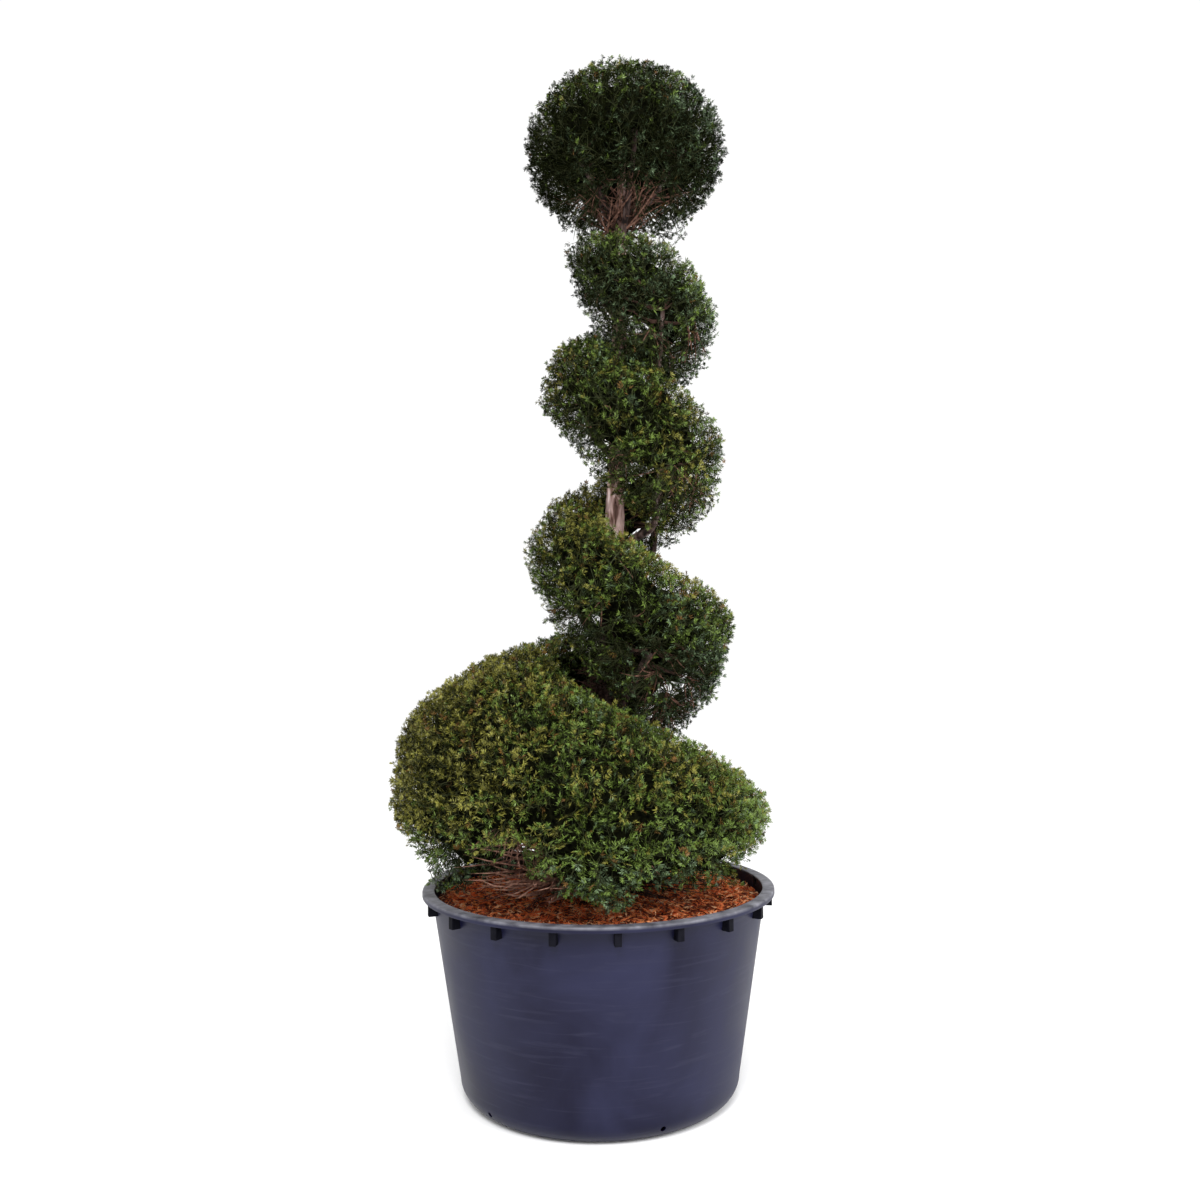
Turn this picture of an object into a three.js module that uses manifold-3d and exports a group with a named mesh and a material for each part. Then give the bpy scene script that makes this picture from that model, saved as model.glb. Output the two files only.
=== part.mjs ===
// A clipped yew spiral growing in a big round nursery pot.
// Millimetres, +Z up. The origin is the middle of the flat underside of the pot, and the front is -Y.
import * as THREE from 'three';
import { mergeVertices } from 'three/addons/utils/BufferGeometryUtils.js';
import Module from 'manifold-3d';

const wasm = await Module();
wasm.setup();

// ---------------------------------------------------------------- sizes

const gap = 0.3; // left between solids that touch
const degree = Math.PI / 180;

const pot = {
  height: 540,
  rimRadius: 470,
  shoulderRadius: 446, // outside of the wall just under the rim
  footRadius: 363, // where the wall would meet the ground without its rounded edge
  footRounding: 52,
  wall: 5,
  lipWidth: 32,
  lipThickness: 5,
  skirtDepth: 14,
  skirtThickness: 4,
  segments: 36,
  ribs: { count: 19, first: 5.5 * degree, width: 17, reach: 463, bottom: 493 },
  drainHoles: { count: 5, first: -48 * degree, radius: 7, height: 30 },
};

const soilTop = 515;
const soilDip = 8; // how much lower the soil lies at the wall than at the trunk

// The trunk's middle line from just under its flat cut to its tip, and its radius along it.
const trunkLine = [[-2, 0, 490], [18, 6, 800], [38, 10, 1200], [58, 4, 1600], [74, 0, 2100], [80, 4, 2380],
  [88, 6, 2600]];
const trunk = { footRadius: 46, tipRadius: 8, flareRadius: 84, flareHeight: 110, sides: 10, steps: 16 };

// The middle line that the spiral winds round, from the lowest turn to the ball.
const spiralAxis = [[-22, 0, 500], [-14, 0, 950], [84, 0, 1250], [102, 0, 1600], [122, 0, 2100],
  [112, 0, 2600]];

// The spiral falls from under the ball to the foot. A turn starts at the left and passes the front.
// Each row is half a turn further down: how far the tips reach, and their lowest and highest points.
const firstTurn = -0.5;
const spiralRows = [
  { reach: 130, bottom: 2250, top: 2345 },
  { reach: 202, bottom: 2090, top: 2325 },
  { reach: 226, bottom: 1924, top: 2220 },
  { reach: 268, bottom: 1750, top: 2045 },
  { reach: 250, bottom: 1499, top: 1830 },
  { reach: 284, bottom: 1250, top: 1600 },
  { reach: 328, bottom: 905, top: 1335 },
  { reach: 546, bottom: 650, top: 1212 },
  { reach: 486, bottom: 598, top: 922 },
  { reach: 420, bottom: 600, top: 675 },
];
const frontSag = { depth: 95, start: 0.04, from: 1.5, until: 2.2 }; // the upper turns hang lower in front

// The shape of a section. Crown and keel say where across its width it is highest and lowest, waist
// where up its height it is widest. The powers say how square it is above and below the waist.
const turnSection = {
  crown: 0.5, keel: 0.5, waist: 0.5, crownPower: 0.8, keelPower: 0.8, slope: 1, lumps: 1,
};
const baseSection = {
  crown: 0.32, keel: 0.62, waist: 0.36, crownPower: 1, keelPower: 0.8, slope: 0, lumps: 0.4,
};
const sectionChange = { from: 2.5, until: 2.95 };

const fringe = 32; // how far the tips stand out of the clipped cores
const ball = {
  centre: [92, 0, 2542],
  radius: 288,
  rise: 240, // from the middle to the top
  openBelow: 128 * degree, // measured from the top
  hollow: 2485, // top of the open underside
  lowest: 2332, // lowest tips
  sprays: 56,
};
const ballBoughs = { count: 5, from: 2285, step: 22, spread: 0.62, rootRadius: 10, tipRadius: 6 };

// The masses of foliage along the spiral, in turns.
const masses = [
  { name: 'turn_1_left', from: -0.34, to: 1 / 6, sprays: 21 },
  { name: 'turn_1_front_right', from: 1 / 6, to: 1 / 2, sprays: 20 },
  { name: 'turn_1_back_right', from: 1 / 2, to: 5 / 6, sprays: 20 },
  { name: 'turn_2_left', from: 5 / 6, to: 7 / 6, sprays: 21 },
  { name: 'turn_2_front_right', from: 7 / 6, to: 3 / 2, sprays: 22 },
  { name: 'turn_2_back_right', from: 3 / 2, to: 11 / 6, sprays: 22 },
  { name: 'turn_3_left', from: 11 / 6, to: 13 / 6, sprays: 23 },
  { name: 'turn_3_front_right', from: 13 / 6, to: 5 / 2, sprays: 24 },
  { name: 'turn_3_back_right', from: 5 / 2, to: 17 / 6, sprays: 23 },
  { name: 'base_back_left', from: 17 / 6, to: 3, sprays: 24 },
  { name: 'base_front_left', from: 3, to: 3.2, sprays: 32 },
  { name: 'base_front_right', from: 3.2, to: 3.45, sprays: 32 },
  { name: 'base_back_right', from: 3.45, to: 3.75, sprays: 26 },
];
// A mass's bough leaves the trunk this far below the place where it enters the mass.
const massBoughs = { drop: 80, lowest: 572, rootRadii: [10, 20], taper: 0.55 };
const baseStart = 2.8;
const twigsPerMass = 2;

// How far the sprays lean from square to the surface, in radians. Those on the broad base are longer
// and lie lower.
const spiralLeans = [0.55, 0.95];
const baseLeans = [0.85, 1.12];

// ---------------------------------------------------------------- solids

// Turns a closed mesh into a solid with its faces pointing out.
function toSolid(geometry) {
  const bare = geometry.clone();
  bare.deleteAttribute('normal');
  bare.deleteAttribute('uv');
  const merged = mergeVertices(bare, 1e-3);
  const points = new Float32Array(merged.attributes.position.array);
  const corners = new Uint32Array(merged.index.array);
  if (signedVolume(points, corners) < 0) corners.reverse();
  return new wasm.Manifold(new wasm.Mesh({ numProp: 3, vertProperties: points, triVerts: corners }));
}

function signedVolume(points, corners) {
  const [a, b, c] = [new THREE.Vector3(), new THREE.Vector3(), new THREE.Vector3()];
  let sum = 0;
  for (let i = 0; i < corners.length; i += 3) {
    a.fromArray(points, 3 * corners[i]);
    b.fromArray(points, 3 * corners[i + 1]);
    c.fromArray(points, 3 * corners[i + 2]);
    sum += a.dot(b.cross(c)) / 6;
  }
  return sum;
}

function toGeometry(solid) {
  const mesh = solid.getMesh();
  const geometry = new THREE.BufferGeometry();
  geometry.setAttribute('position', new THREE.BufferAttribute(mesh.vertProperties, 3));
  geometry.setIndex(new THREE.BufferAttribute(mesh.triVerts, 1));
  geometry.computeVertexNormals();
  return geometry;
}

// Keeps the largest closed body, which drops loose scraps and fills sealed hollows.
function mainBody(solid) {
  return solid.decompose().reduce((best, body) => (body.volume() > best.volume() ? body : best));
}

function fuse(solids) {
  return solids.reduce((whole, solid) => whole.add(solid));
}

// ---------------------------------------------------------------- shapes

// Numbers between 0 and 1 that are the same every time for the same seed.
function randomFrom(seed) {
  let state = seed;
  return () => {
    state = (state + 0x6d2b79f5) | 0;
    let t = Math.imul(state ^ (state >>> 15), 1 | state);
    t = (t + Math.imul(t ^ (t >>> 7), 61 | t)) ^ t;
    return ((t ^ (t >>> 14)) >>> 0) / 4294967296;
  };
}

const between = (random, low, high) => low + (high - low) * random();
const vector = (point) => new THREE.Vector3(...point);
const signedPower = (value, power) => Math.sign(value) * Math.abs(value) ** power;

function turnedAboutZ(profile, segments) {
  const points = profile.map(([radius, height]) => new THREE.Vector2(radius, height));
  return new THREE.LatheGeometry(points, segments).rotateX(Math.PI / 2);
}

// A round limb along a curve, its radius given at each place from 0 to 1, with flat ends.
function limb(curve, radiusAt, { sides = 5, steps = 3, from = 0, to = 1, grow = 0 } = {}) {
  const geometry = new THREE.CylinderGeometry(1, 1, 1, sides, steps);
  const position = geometry.attributes.position;
  const place = new THREE.Vector3();
  for (let i = 0; i < position.count; i += 1) {
    const step = position.getY(i) + 0.5;
    const at = from + (to - from) * step;
    const along = curve.getTangent(at);
    const side = new THREE.Vector3(0, 1, 0).cross(along).normalize();
    const other = along.clone().cross(side);
    const radius = radiusAt(at) + grow;
    place.copy(curve.getPoint(at)).addScaledVector(along, grow * (2 * step - 1));
    place.addScaledVector(side, radius * position.getX(i));
    place.addScaledVector(other, radius * position.getZ(i));
    position.setXYZ(i, place.x, place.y, place.z);
  }
  return toSolid(geometry);
}

// A spray of needles: a thin three-toothed blade, thickest along its middle.
const sprayOutline = [[0, 0], [0.5, 0.66], [0.2, 0.62], [0, 1], [-0.2, 0.62], [-0.5, 0.66]];
const sprayThickness = 0.1;
const sprayRoot = 15; // how deep a spray is sunk in its core

function spray(root, direction, sideways, length, width) {
  const across = sideways.clone().addScaledVector(direction, -sideways.dot(direction)).normalize();
  const normal = across.clone().cross(direction);
  const at = (x, y, z) => root.clone().addScaledVector(across, x * width)
    .addScaledVector(direction, y * length).addScaledVector(normal, z * length);
  const points = sprayOutline.map(([x, y]) => at(x, y, 0));
  points.push(at(0, 0.5, sprayThickness / 2), at(0, 0.5, -sprayThickness / 2));
  const count = sprayOutline.length;
  const corners = [];
  for (let i = 0; i < count; i += 1) {
    const next = (i + 1) % count;
    corners.push(i, next, count, next, i, count + 1);
  }
  const geometry = new THREE.BufferGeometry().setFromPoints(points);
  geometry.setIndex(corners);
  return { points, solid: () => toSolid(geometry) };
}

// ---------------------------------------------------------------- pot and soil

const lipUnderside = pot.height - pot.lipThickness;

// The outside of the pot's tapered wall.
function wallRadiusAt(height) {
  return THREE.MathUtils.mapLinear(height, 0, lipUnderside, pot.footRadius, pot.shoulderRadius);
}

function potProfile() {
  const { height, rimRadius, shoulderRadius, footRounding, wall, lipWidth } = pot;
  const skirtBottom = height - pot.skirtDepth;
  const arc = (inset) => [0, 30, 60, 90].map((angle) => [
    wallRadiusAt(footRounding) - footRounding + (footRounding - inset) * Math.sin(angle * degree),
    footRounding - (footRounding - inset) * Math.cos(angle * degree),
  ]);
  return [
    [0, 0], ...arc(0),
    [shoulderRadius, lipUnderside],
    [rimRadius - pot.skirtThickness, lipUnderside],
    [rimRadius - pot.skirtThickness, skirtBottom],
    [rimRadius, skirtBottom],
    [rimRadius, height - 4], [rimRadius - 4, height],
    [rimRadius - lipWidth, height],
    [shoulderRadius - wall - 2, height - 10],
    ...arc(wall).reverse(),
    [0, wall],
  ];
}

function buildPot() {
  let body = toSolid(turnedAboutZ(potProfile(), pot.segments));
  const { ribs, drainHoles } = pot;
  const ribTop = pot.height - pot.lipThickness / 2;
  for (let i = 0; i < ribs.count; i += 1) {
    const inner = pot.shoulderRadius - pot.wall - 3;
    const rib = new THREE.BoxGeometry(ribs.width, ribs.reach - inner, ribTop - ribs.bottom);
    rib.translate(0, -(ribs.reach + inner) / 2, (ribTop + ribs.bottom) / 2);
    rib.rotateZ(ribs.first + (2 * Math.PI * i) / ribs.count);
    body = body.add(toSolid(rib));
  }
  for (let i = 0; i < drainHoles.count; i += 1) {
    const hole = new THREE.CylinderGeometry(drainHoles.radius, drainHoles.radius, 60, 8);
    hole.translate(0, -(pot.footRadius - 20), drainHoles.height);
    hole.rotateZ(drainHoles.first + (2 * Math.PI * i) / drainHoles.count);
    body = body.subtract(toSolid(hole));
  }
  return mainBody(body);
}

// The soil fills the pot and keeps clear of its faceted wall.
function buildSoil() {
  const { footRounding, wall } = pot;
  const radiusAt = (z) => wallRadiusAt(z) - wall - 1.5;
  const edge = soilTop - soilDip;
  const profile = [
    [0, wall + gap], [radiusAt(footRounding) - footRounding, wall + gap],
    [radiusAt(footRounding) - 12, footRounding - 20], [radiusAt(footRounding + 20), footRounding + 20],
    [radiusAt(edge), edge], [radiusAt(edge) * 0.6, soilTop - 3],
    [trunk.flareRadius + 40, soilTop], [0, soilTop],
  ];
  return toSolid(turnedAboutZ(profile, pot.segments / 2));
}

// ---------------------------------------------------------------- trunk and boughs

const trunkCurve = new THREE.CatmullRomCurve3(trunkLine.map(vector), false, 'centripetal');

function trunkRadiusAt(at) {
  const above = (at * (trunkLine.at(-1)[2] - trunkLine[0][2])) / trunk.flareHeight;
  const flare = (trunk.flareRadius - trunk.footRadius) * Math.exp(-2.2 * above);
  return THREE.MathUtils.lerp(trunk.footRadius, trunk.tipRadius, at ** 0.85) + flare;
}

// The place from 0 to 1 along the trunk that lies at a height.
function trunkPlaceAt(height) {
  let [low, high] = [0, 1];
  for (let i = 0; i < 24; i += 1) {
    const middle = (low + high) / 2;
    if (trunkCurve.getPoint(middle).z < height) low = middle;
    else high = middle;
  }
  return (low + high) / 2;
}

function trunkLimb(grow) {
  return limb(trunkCurve, trunkRadiusAt, { sides: trunk.sides, steps: trunk.steps, grow });
}

// The trunk itself stands on the soil with a flat cut.
function buildTrunk() {
  const belowCut = new THREE.BoxGeometry(400, 400, 200).translate(0, 0, soilTop + gap - 100);
  return trunkLimb(0).subtract(toSolid(belowCut));
}

// ---------------------------------------------------------------- the spiral

const axisCurve = new THREE.CatmullRomCurve3(spiralAxis.map(vector), false, 'centripetal');
const rowCurve = new THREE.CatmullRomCurve3(
  spiralRows.map((row) => new THREE.Vector3(row.reach, row.bottom, row.top)), false, 'catmullrom');

function spiralAt(turn) {
  const values = rowCurve.getPoint((turn - firstTurn) / (0.5 * (spiralRows.length - 1)));
  const upper = 1 - THREE.MathUtils.smoothstep(turn, frontSag.from, frontSag.until);
  const sag = frontSag.depth * upper * Math.max(0, Math.sin(2 * Math.PI * (turn - frontSag.start)));
  return { reach: values.x, bottom: values.y - sag, top: values.z };
}

function sectionAt(turn) {
  const share = THREE.MathUtils.smoothstep(turn, sectionChange.from, sectionChange.until);
  const section = {};
  for (const [name, value] of Object.entries(turnSection)) {
    section[name] = THREE.MathUtils.lerp(value, baseSection[name], share);
  }
  return section;
}

function axisAt(height) {
  const [low, high] = [spiralAxis[0][2], spiralAxis.at(-1)[2]];
  const at = THREE.MathUtils.clamp((height - low) / (high - low), 0, 1);
  let [from, to] = [0, 1];
  for (let i = 0; i < 20; i += 1) {
    const middle = (from + to) / 2;
    if (axisCurve.getPoint(middle).z < low + at * (high - low)) from = middle;
    else to = middle;
  }
  return axisCurve.getPoint(from).setZ(height);
}

// A point of the clipped surface. The section is a rounded wedge, tallest beside the trunk.
function bandPoint(turn, around, inset = 0) {
  const { reach, bottom, top } = spiralAt(turn);
  const section = sectionAt(turn);
  const isAbove = Math.sin(around) > 0;
  const power = isAbove ? section.crownPower : section.keelPower;
  const across = signedPower(Math.cos(around), power);
  const up = signedPower(Math.sin(around), power);
  const inner = 24 + 0.05 * reach;
  const ridge = THREE.MathUtils.lerp(inner, reach, isAbove ? section.crown : section.keel);
  const radius = ridge + ((across > 0 ? reach - ridge : ridge - inner) - inset) * across;
  const waist = THREE.MathUtils.lerp(bottom, top, section.waist);
  const slope = section.slope * (isAbove ? 0.09 : -0.07) * (0.3 - across) * Math.abs(up);
  const halfHeight = (isAbove ? top - waist : waist - bottom) - inset;
  const height = waist + 0.95 * halfHeight * up + (top - bottom) * slope;
  const azimuth = Math.PI + 2 * Math.PI * turn;
  const lumps = 0.04 * Math.sin(3.6 * azimuth + 2.1 * around) + 0.03 * Math.sin(5 * around + 3.7 * turn);
  const outwards = radius * (1 + section.lumps * lumps);
  const centre = axisAt(height);
  return new THREE.Vector3(
    centre.x + outwards * Math.cos(azimuth), centre.y + outwards * Math.sin(azimuth), height);
}

function bandNormal(turn, around) {
  const step = 1e-3;
  const alongTurn = bandPoint(turn + step, around).sub(bandPoint(turn - step, around));
  const alongSection = bandPoint(turn, around + step).sub(bandPoint(turn, around - step));
  const normal = alongTurn.cross(alongSection).normalize();
  const middle = bandPoint(turn, Math.PI).add(bandPoint(turn, 0)).multiplyScalar(0.5);
  return normal.dot(bandPoint(turn, around).sub(middle)) < 0 ? normal.negate() : normal;
}

// The middle of the section, where the stem of a mass ends.
function bandMiddle(turn) {
  return bandPoint(turn, 0, fringe).add(bandPoint(turn, Math.PI, fringe)).multiplyScalar(0.5);
}

// The core of one mass: the section carried round the axis, closed by two flat ends.
function bandCore(from, to) {
  const sectionSides = 8;
  const steps = Math.max(3, Math.round((to - from) * 18));
  const margin = 0.0022;
  const geometry = new THREE.CylinderGeometry(1, 1, 1, sectionSides, steps);
  const position = geometry.attributes.position;
  for (let i = 0; i < position.count; i += 1) {
    const turn = THREE.MathUtils.lerp(from + margin, to - margin, position.getY(i) + 0.5);
    const [x, z] = [position.getX(i), position.getZ(i)];
    const onRim = Math.hypot(x, z) > 0.5;
    const point = onRim ? bandPoint(turn, Math.atan2(z, x), fringe) : bandMiddle(turn);
    position.setXYZ(i, point.x, point.y, point.z);
  }
  return toSolid(geometry);
}

// Whether a point keeps to its mass's own space: between the two ends, the turns above and below,
// and the clipped outline.
function inOwnSpace(point, { from, to }) {
  const centre = axisAt(point.z);
  const [x, y] = [point.x - centre.x, point.y - centre.y];
  const middle = (from + to) / 2;
  const nearest = Math.atan2(y, x) / (2 * Math.PI) + 0.5;
  const turn = nearest + Math.round(middle - nearest);
  const endMargin = 1.5 / (2 * Math.PI * Math.hypot(x, y));
  if (turn < from + endMargin || turn > to - endMargin) return false;
  const own = spiralAt(turn);
  const isFirstTurn = turn - 1 < masses[0].from;
  const isLastTurn = turn + 1 > masses.at(-1).to;
  const ceiling = isFirstTurn ? ball.lowest - 4 : (spiralAt(turn - 1).bottom + own.top) / 2 - 2;
  const floor = isLastTurn ? own.bottom - 45 : (own.bottom + spiralAt(turn + 1).top) / 2 + 2;
  const inHeight = point.z > floor && point.z < Math.max(ceiling, own.top - 30);
  return inHeight && Math.hypot(x, y) < own.reach * 1.1;
}

// ---------------------------------------------------------------- boughs and foliage

// A bough leaves the trunk, rises outwards and ends where it meets the underside of its mass. The line
// goes on into the mass as its stem.
function boughLine(startHeight, entry, end) {
  const start = trunkCurve.getPoint(trunkPlaceAt(startHeight));
  const bend = start.clone().lerp(entry, 0.5).setZ(THREE.MathUtils.lerp(start.z, entry.z, 0.42));
  const curve = new THREE.CatmullRomCurve3([start, bend, entry, end], false, 'catmullrom');
  const meeting = 2 / 3;
  const speed = curve.getPoint(meeting + 1e-3).distanceTo(curve.getPoint(meeting)) / 1e-3;
  return { curve, meeting, stemStart: meeting + gap / speed };
}

function boughSolids(line, rootRadius, tipRadius) {
  const radiusAt = (at) => THREE.MathUtils.lerp(rootRadius, tipRadius, at);
  return {
    bough: mainBody(limb(line.curve, radiusAt, { to: line.meeting }).subtract(trunkLimb(gap))),
    clearance: limb(line.curve, radiusAt, { to: line.meeting, grow: gap }),
    stem: limb(line.curve, radiusAt, { from: line.stemStart, steps: 2 }),
  };
}

// Whether a point stays clear of the trunk and of every bough.
function clearOfLimbs(point, lines, margin) {
  const at = trunkPlaceAt(point.z);
  if (trunkCurve.getPoint(at).distanceTo(point) < trunkRadiusAt(at) + margin) return false;
  return lines.every(({ curve, meeting, rootRadius }) => {
    for (let step = 0; step <= 8; step += 1) {
      if (curve.getPoint((meeting * step) / 8).distanceTo(point) < rootRadius + margin) return false;
    }
    return true;
  });
}

// Picks a place that lies far from those already taken, so that the sprays are even on all sides.
function spreadOut(makeCandidate, taken) {
  let best;
  for (let i = 0; i < 7; i += 1) {
    const candidate = makeCandidate();
    const room = Math.min(...taken.map((other) => other.distanceTo(candidate.root)), 1e6);
    if (!best || room > best.room) best = { ...candidate, room };
  }
  taken.push(best.root);
  return best;
}

const strayVector = (random) => vector([0, 0, 0].map(() => between(random, -1, 1)));

// Sprays that stand out of a core. One that would leave the mass's space or touch a limb is skipped.
function growSprays(random, count, leans, makeCandidate, keeps) {
  const taken = [];
  const solids = [];
  for (let tries = 0; tries < count * 4 && solids.length < count; tries += 1) {
    const { root, normal } = spreadOut(makeCandidate, taken);
    const lean = between(random, ...leans);
    const along = strayVector(random).cross(normal).normalize();
    const direction = normal.clone().multiplyScalar(Math.cos(lean)).addScaledVector(along, Math.sin(lean));
    const sideways = normal.clone().cross(along).addScaledVector(strayVector(random), 0.4);
    const length = (between(random, 0.86, 1) * (fringe + sprayRoot)) / Math.cos(lean);
    const blade = spray(root, direction, sideways, length, between(random, 0.75, 1) * length);
    if (blade.points.every(keeps)) solids.push(blade.solid());
  }
  return solids;
}

// Bare twigs under a mass, each with a spray at its tip.
function growTwigs(random, mass, keeps) {
  const solids = [];
  for (let tries = 0; tries < twigsPerMass * 4 && solids.length < 2 * twigsPerMass; tries += 1) {
    const turn = between(random, mass.from + 0.04, mass.to - 0.04);
    const around = between(random, -0.75, -0.3) * Math.PI;
    const base = bandPoint(turn, around, fringe + sprayRoot);
    const tip = bandPoint(turn + between(random, -0.03, 0.03), around + between(random, 0.2, 0.5), 4);
    const sag = base.clone().lerp(tip, 0.5).add(new THREE.Vector3(0, 0, -14));
    const curve = new THREE.CatmullRomCurve3([base, sag, tip], false, 'catmullrom');
    const along = curve.getTangent(1);
    const root = tip.clone().addScaledVector(along, -20);
    const [length, width] = [between(random, 58, 74), between(random, 40, 54)];
    const blade = spray(root, along, strayVector(random), length, width);
    if (![...blade.points, sag, tip].every(keeps)) continue;
    solids.push(limb(curve, (at) => 5 - 2 * at, { sides: 3, steps: 2 }), blade.solid());
  }
  return solids;
}

function buildMass(mass, seed, stem, lines) {
  const random = randomFrom(seed);
  const candidate = () => {
    const turn = between(random, mass.from, mass.to);
    const around = between(random, -1, 1) * Math.PI * (random() < 0.6 ? 0.6 : 1);
    return { root: bandPoint(turn, around, fringe + sprayRoot), normal: bandNormal(turn, around) };
  };
  const keeps = (point) => inOwnSpace(point, mass) && clearOfLimbs(point, lines, 4);
  const leans = mass.from < baseStart ? spiralLeans : baseLeans;
  const sprays = growSprays(random, mass.sprays, leans, candidate, keeps);
  return fuse([bandCore(mass.from, mass.to), stem, ...growTwigs(random, mass, keeps), ...sprays]);
}

// ---------------------------------------------------------------- the ball

// The radius and height of the ball's clipped surface, measured from its middle.
function ballSection(polar, inset) {
  return [(ball.radius - inset) * Math.sin(polar), (ball.rise - inset) * Math.cos(polar)];
}

function ballPoint(polar, azimuth, inset) {
  const [radius, height] = ballSection(polar, inset);
  const [x, y, z] = ball.centre;
  return new THREE.Vector3(x + radius * Math.cos(azimuth), y + radius * Math.sin(azimuth), z + height);
}

// The clipped ball is open below, where its boughs fan out.
function ballCore() {
  const rings = [0, 24, 46, 68, 90, 110, 128].map((angle) => ballSection(angle * degree, fringe));
  const hollow = ball.hollow - ball.centre[2];
  const profile = [...rings, [rings.at(-1)[0] * 0.62, hollow - 22], [0, hollow]];
  return toSolid(turnedAboutZ(profile, 14).translate(...ball.centre));
}

function ballBoughLines() {
  const lines = [];
  for (let i = 0; i < ballBoughs.count; i += 1) {
    const azimuth = -Math.PI / 2 + (2 * Math.PI * (i + 0.12)) / ballBoughs.count;
    const reach = ballBoughs.spread * ball.radius;
    const at = (radius, height) => new THREE.Vector3(
      ball.centre[0] + radius * Math.cos(azimuth), ball.centre[1] + radius * Math.sin(azimuth), height);
    const startHeight = ballBoughs.from + ballBoughs.step * ((2 * i) % ballBoughs.count);
    lines.push(boughLine(startHeight, at(0.62 * reach, ball.hollow - 25), at(reach, ball.hollow + 70)));
  }
  return lines;
}

function inBall(point) {
  const from = point.clone().sub(vector(ball.centre));
  return Math.hypot(from.x / ball.radius, from.y / ball.radius, from.z / ball.rise) < 1.01;
}

function buildBall(seed, stem, lines) {
  const random = randomFrom(seed);
  const centre = vector(ball.centre);
  const candidate = () => {
    const polar = Math.acos(between(random, Math.cos(ball.openBelow), 1));
    const root = ballPoint(polar, between(random, -Math.PI, Math.PI), fringe + sprayRoot);
    return { root, normal: root.clone().sub(centre).normalize() };
  };
  const keeps = (point) => point.z > ball.lowest && inBall(point) && clearOfLimbs(point, lines, 4);
  return fuse([ballCore(), stem, ...growSprays(random, ball.sprays, spiralLeans, candidate, keeps)]);
}

// ---------------------------------------------------------------- the assembly

const finishes = {
  pot: { color: 0x34353f, roughness: 0.55 },
  soil: { color: 0x6b3f28, roughness: 0.95 },
  bark: { color: 0x6e4a3e, roughness: 0.85 },
  foliage: { color: 0x3b4a22, roughness: 0.8 },
};

const topiary = new THREE.Group();

function addPiece(name, finish, solid) {
  const material = new THREE.MeshStandardMaterial({ ...finishes[finish], metalness: 0 });
  const mesh = new THREE.Mesh(toGeometry(solid), material);
  mesh.name = name;
  topiary.add(mesh);
}

addPiece('pot', 'pot', buildPot());
addPiece('soil', 'soil', buildSoil());
addPiece('trunk', 'bark', buildTrunk());

const massLines = masses.map(({ from, to }) => {
  const turn = (from + to) / 2;
  const entry = bandPoint(turn, -0.58 * Math.PI, fringe - 8);
  const startHeight = Math.max(entry.z - massBoughs.drop, massBoughs.lowest);
  const rootRadius = THREE.MathUtils.mapLinear(turn, 0, 3.5, ...massBoughs.rootRadii);
  const line = boughLine(startHeight, entry, bandMiddle(turn));
  return { ...line, rootRadius, tipRadius: massBoughs.taper * rootRadius };
});
const fanLines = ballBoughLines().map((line) => ({ ...line, ...ballBoughs }));
const allLines = [...massLines, ...fanLines];
const limbs = allLines.map((line) => boughSolids(line, line.rootRadius, line.tipRadius));
const limbClearance = fuse([trunkLimb(gap), ...limbs.map(({ clearance }) => clearance)]);

masses.forEach((mass, i) => {
  addPiece(`bough_${mass.name}`, 'bark', limbs[i].bough);
  const foliage = buildMass(mass, 131 + i, limbs[i].stem, allLines);
  addPiece(`foliage_${mass.name}`, 'foliage', mainBody(foliage.subtract(limbClearance)));
});
fanLines.forEach((_, i) => addPiece(`bough_ball_${i + 1}`, 'bark', limbs[masses.length + i].bough));
const ballFoliage = buildBall(7, limbs[masses.length].stem, allLines);
addPiece('foliage_ball', 'foliage', mainBody(ballFoliage.subtract(limbClearance)));

export default topiary;
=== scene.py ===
"""The looks of a clipped yew spiral in a big round nursery pot.

Metres, +Z up. The origin is the middle of the pot's underside, and the front is -Y.
"""
import math

import bpy
import numpy as np
from mathutils import Matrix, Vector


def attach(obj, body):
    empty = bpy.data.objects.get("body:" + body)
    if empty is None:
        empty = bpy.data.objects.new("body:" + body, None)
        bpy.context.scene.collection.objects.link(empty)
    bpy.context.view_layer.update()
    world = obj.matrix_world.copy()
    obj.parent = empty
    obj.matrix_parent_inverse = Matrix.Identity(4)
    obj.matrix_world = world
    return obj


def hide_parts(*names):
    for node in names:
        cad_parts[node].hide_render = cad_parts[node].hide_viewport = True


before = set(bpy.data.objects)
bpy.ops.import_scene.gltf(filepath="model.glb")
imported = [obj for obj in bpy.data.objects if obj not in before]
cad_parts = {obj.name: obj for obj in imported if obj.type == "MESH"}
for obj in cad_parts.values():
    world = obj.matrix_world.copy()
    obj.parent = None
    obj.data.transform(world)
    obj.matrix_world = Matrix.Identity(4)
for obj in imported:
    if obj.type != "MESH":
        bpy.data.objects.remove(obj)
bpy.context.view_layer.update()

# ---------------------------------------------------------------- sizes

BODY = "root"
TAU = 2 * math.pi

# The pot, from its foot to its rim.
POT_HEIGHT = 0.540
RIM_RADIUS = 0.470
SHOULDER_RADIUS = 0.446
FOOT_RADIUS = 0.363
FOOT_ROUNDING = 0.052
WALL = 0.005
LIP_WIDTH = 0.032
LIP_THICKNESS = 0.005
SKIRT_DEPTH = 0.014
SKIRT_THICKNESS = 0.004
POT_STEPS = 144
TAB_COUNT = 19
TAB_FIRST = math.radians(5.5)
TAB_WIDTH = 0.017
TAB_REACH = 0.463
TAB_BOTTOM = 0.493
HOLE_COUNT = 5
HOLE_FIRST = math.radians(-48)
HOLE_RADIUS = 0.007
HOLE_HEIGHT = 0.030

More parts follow.
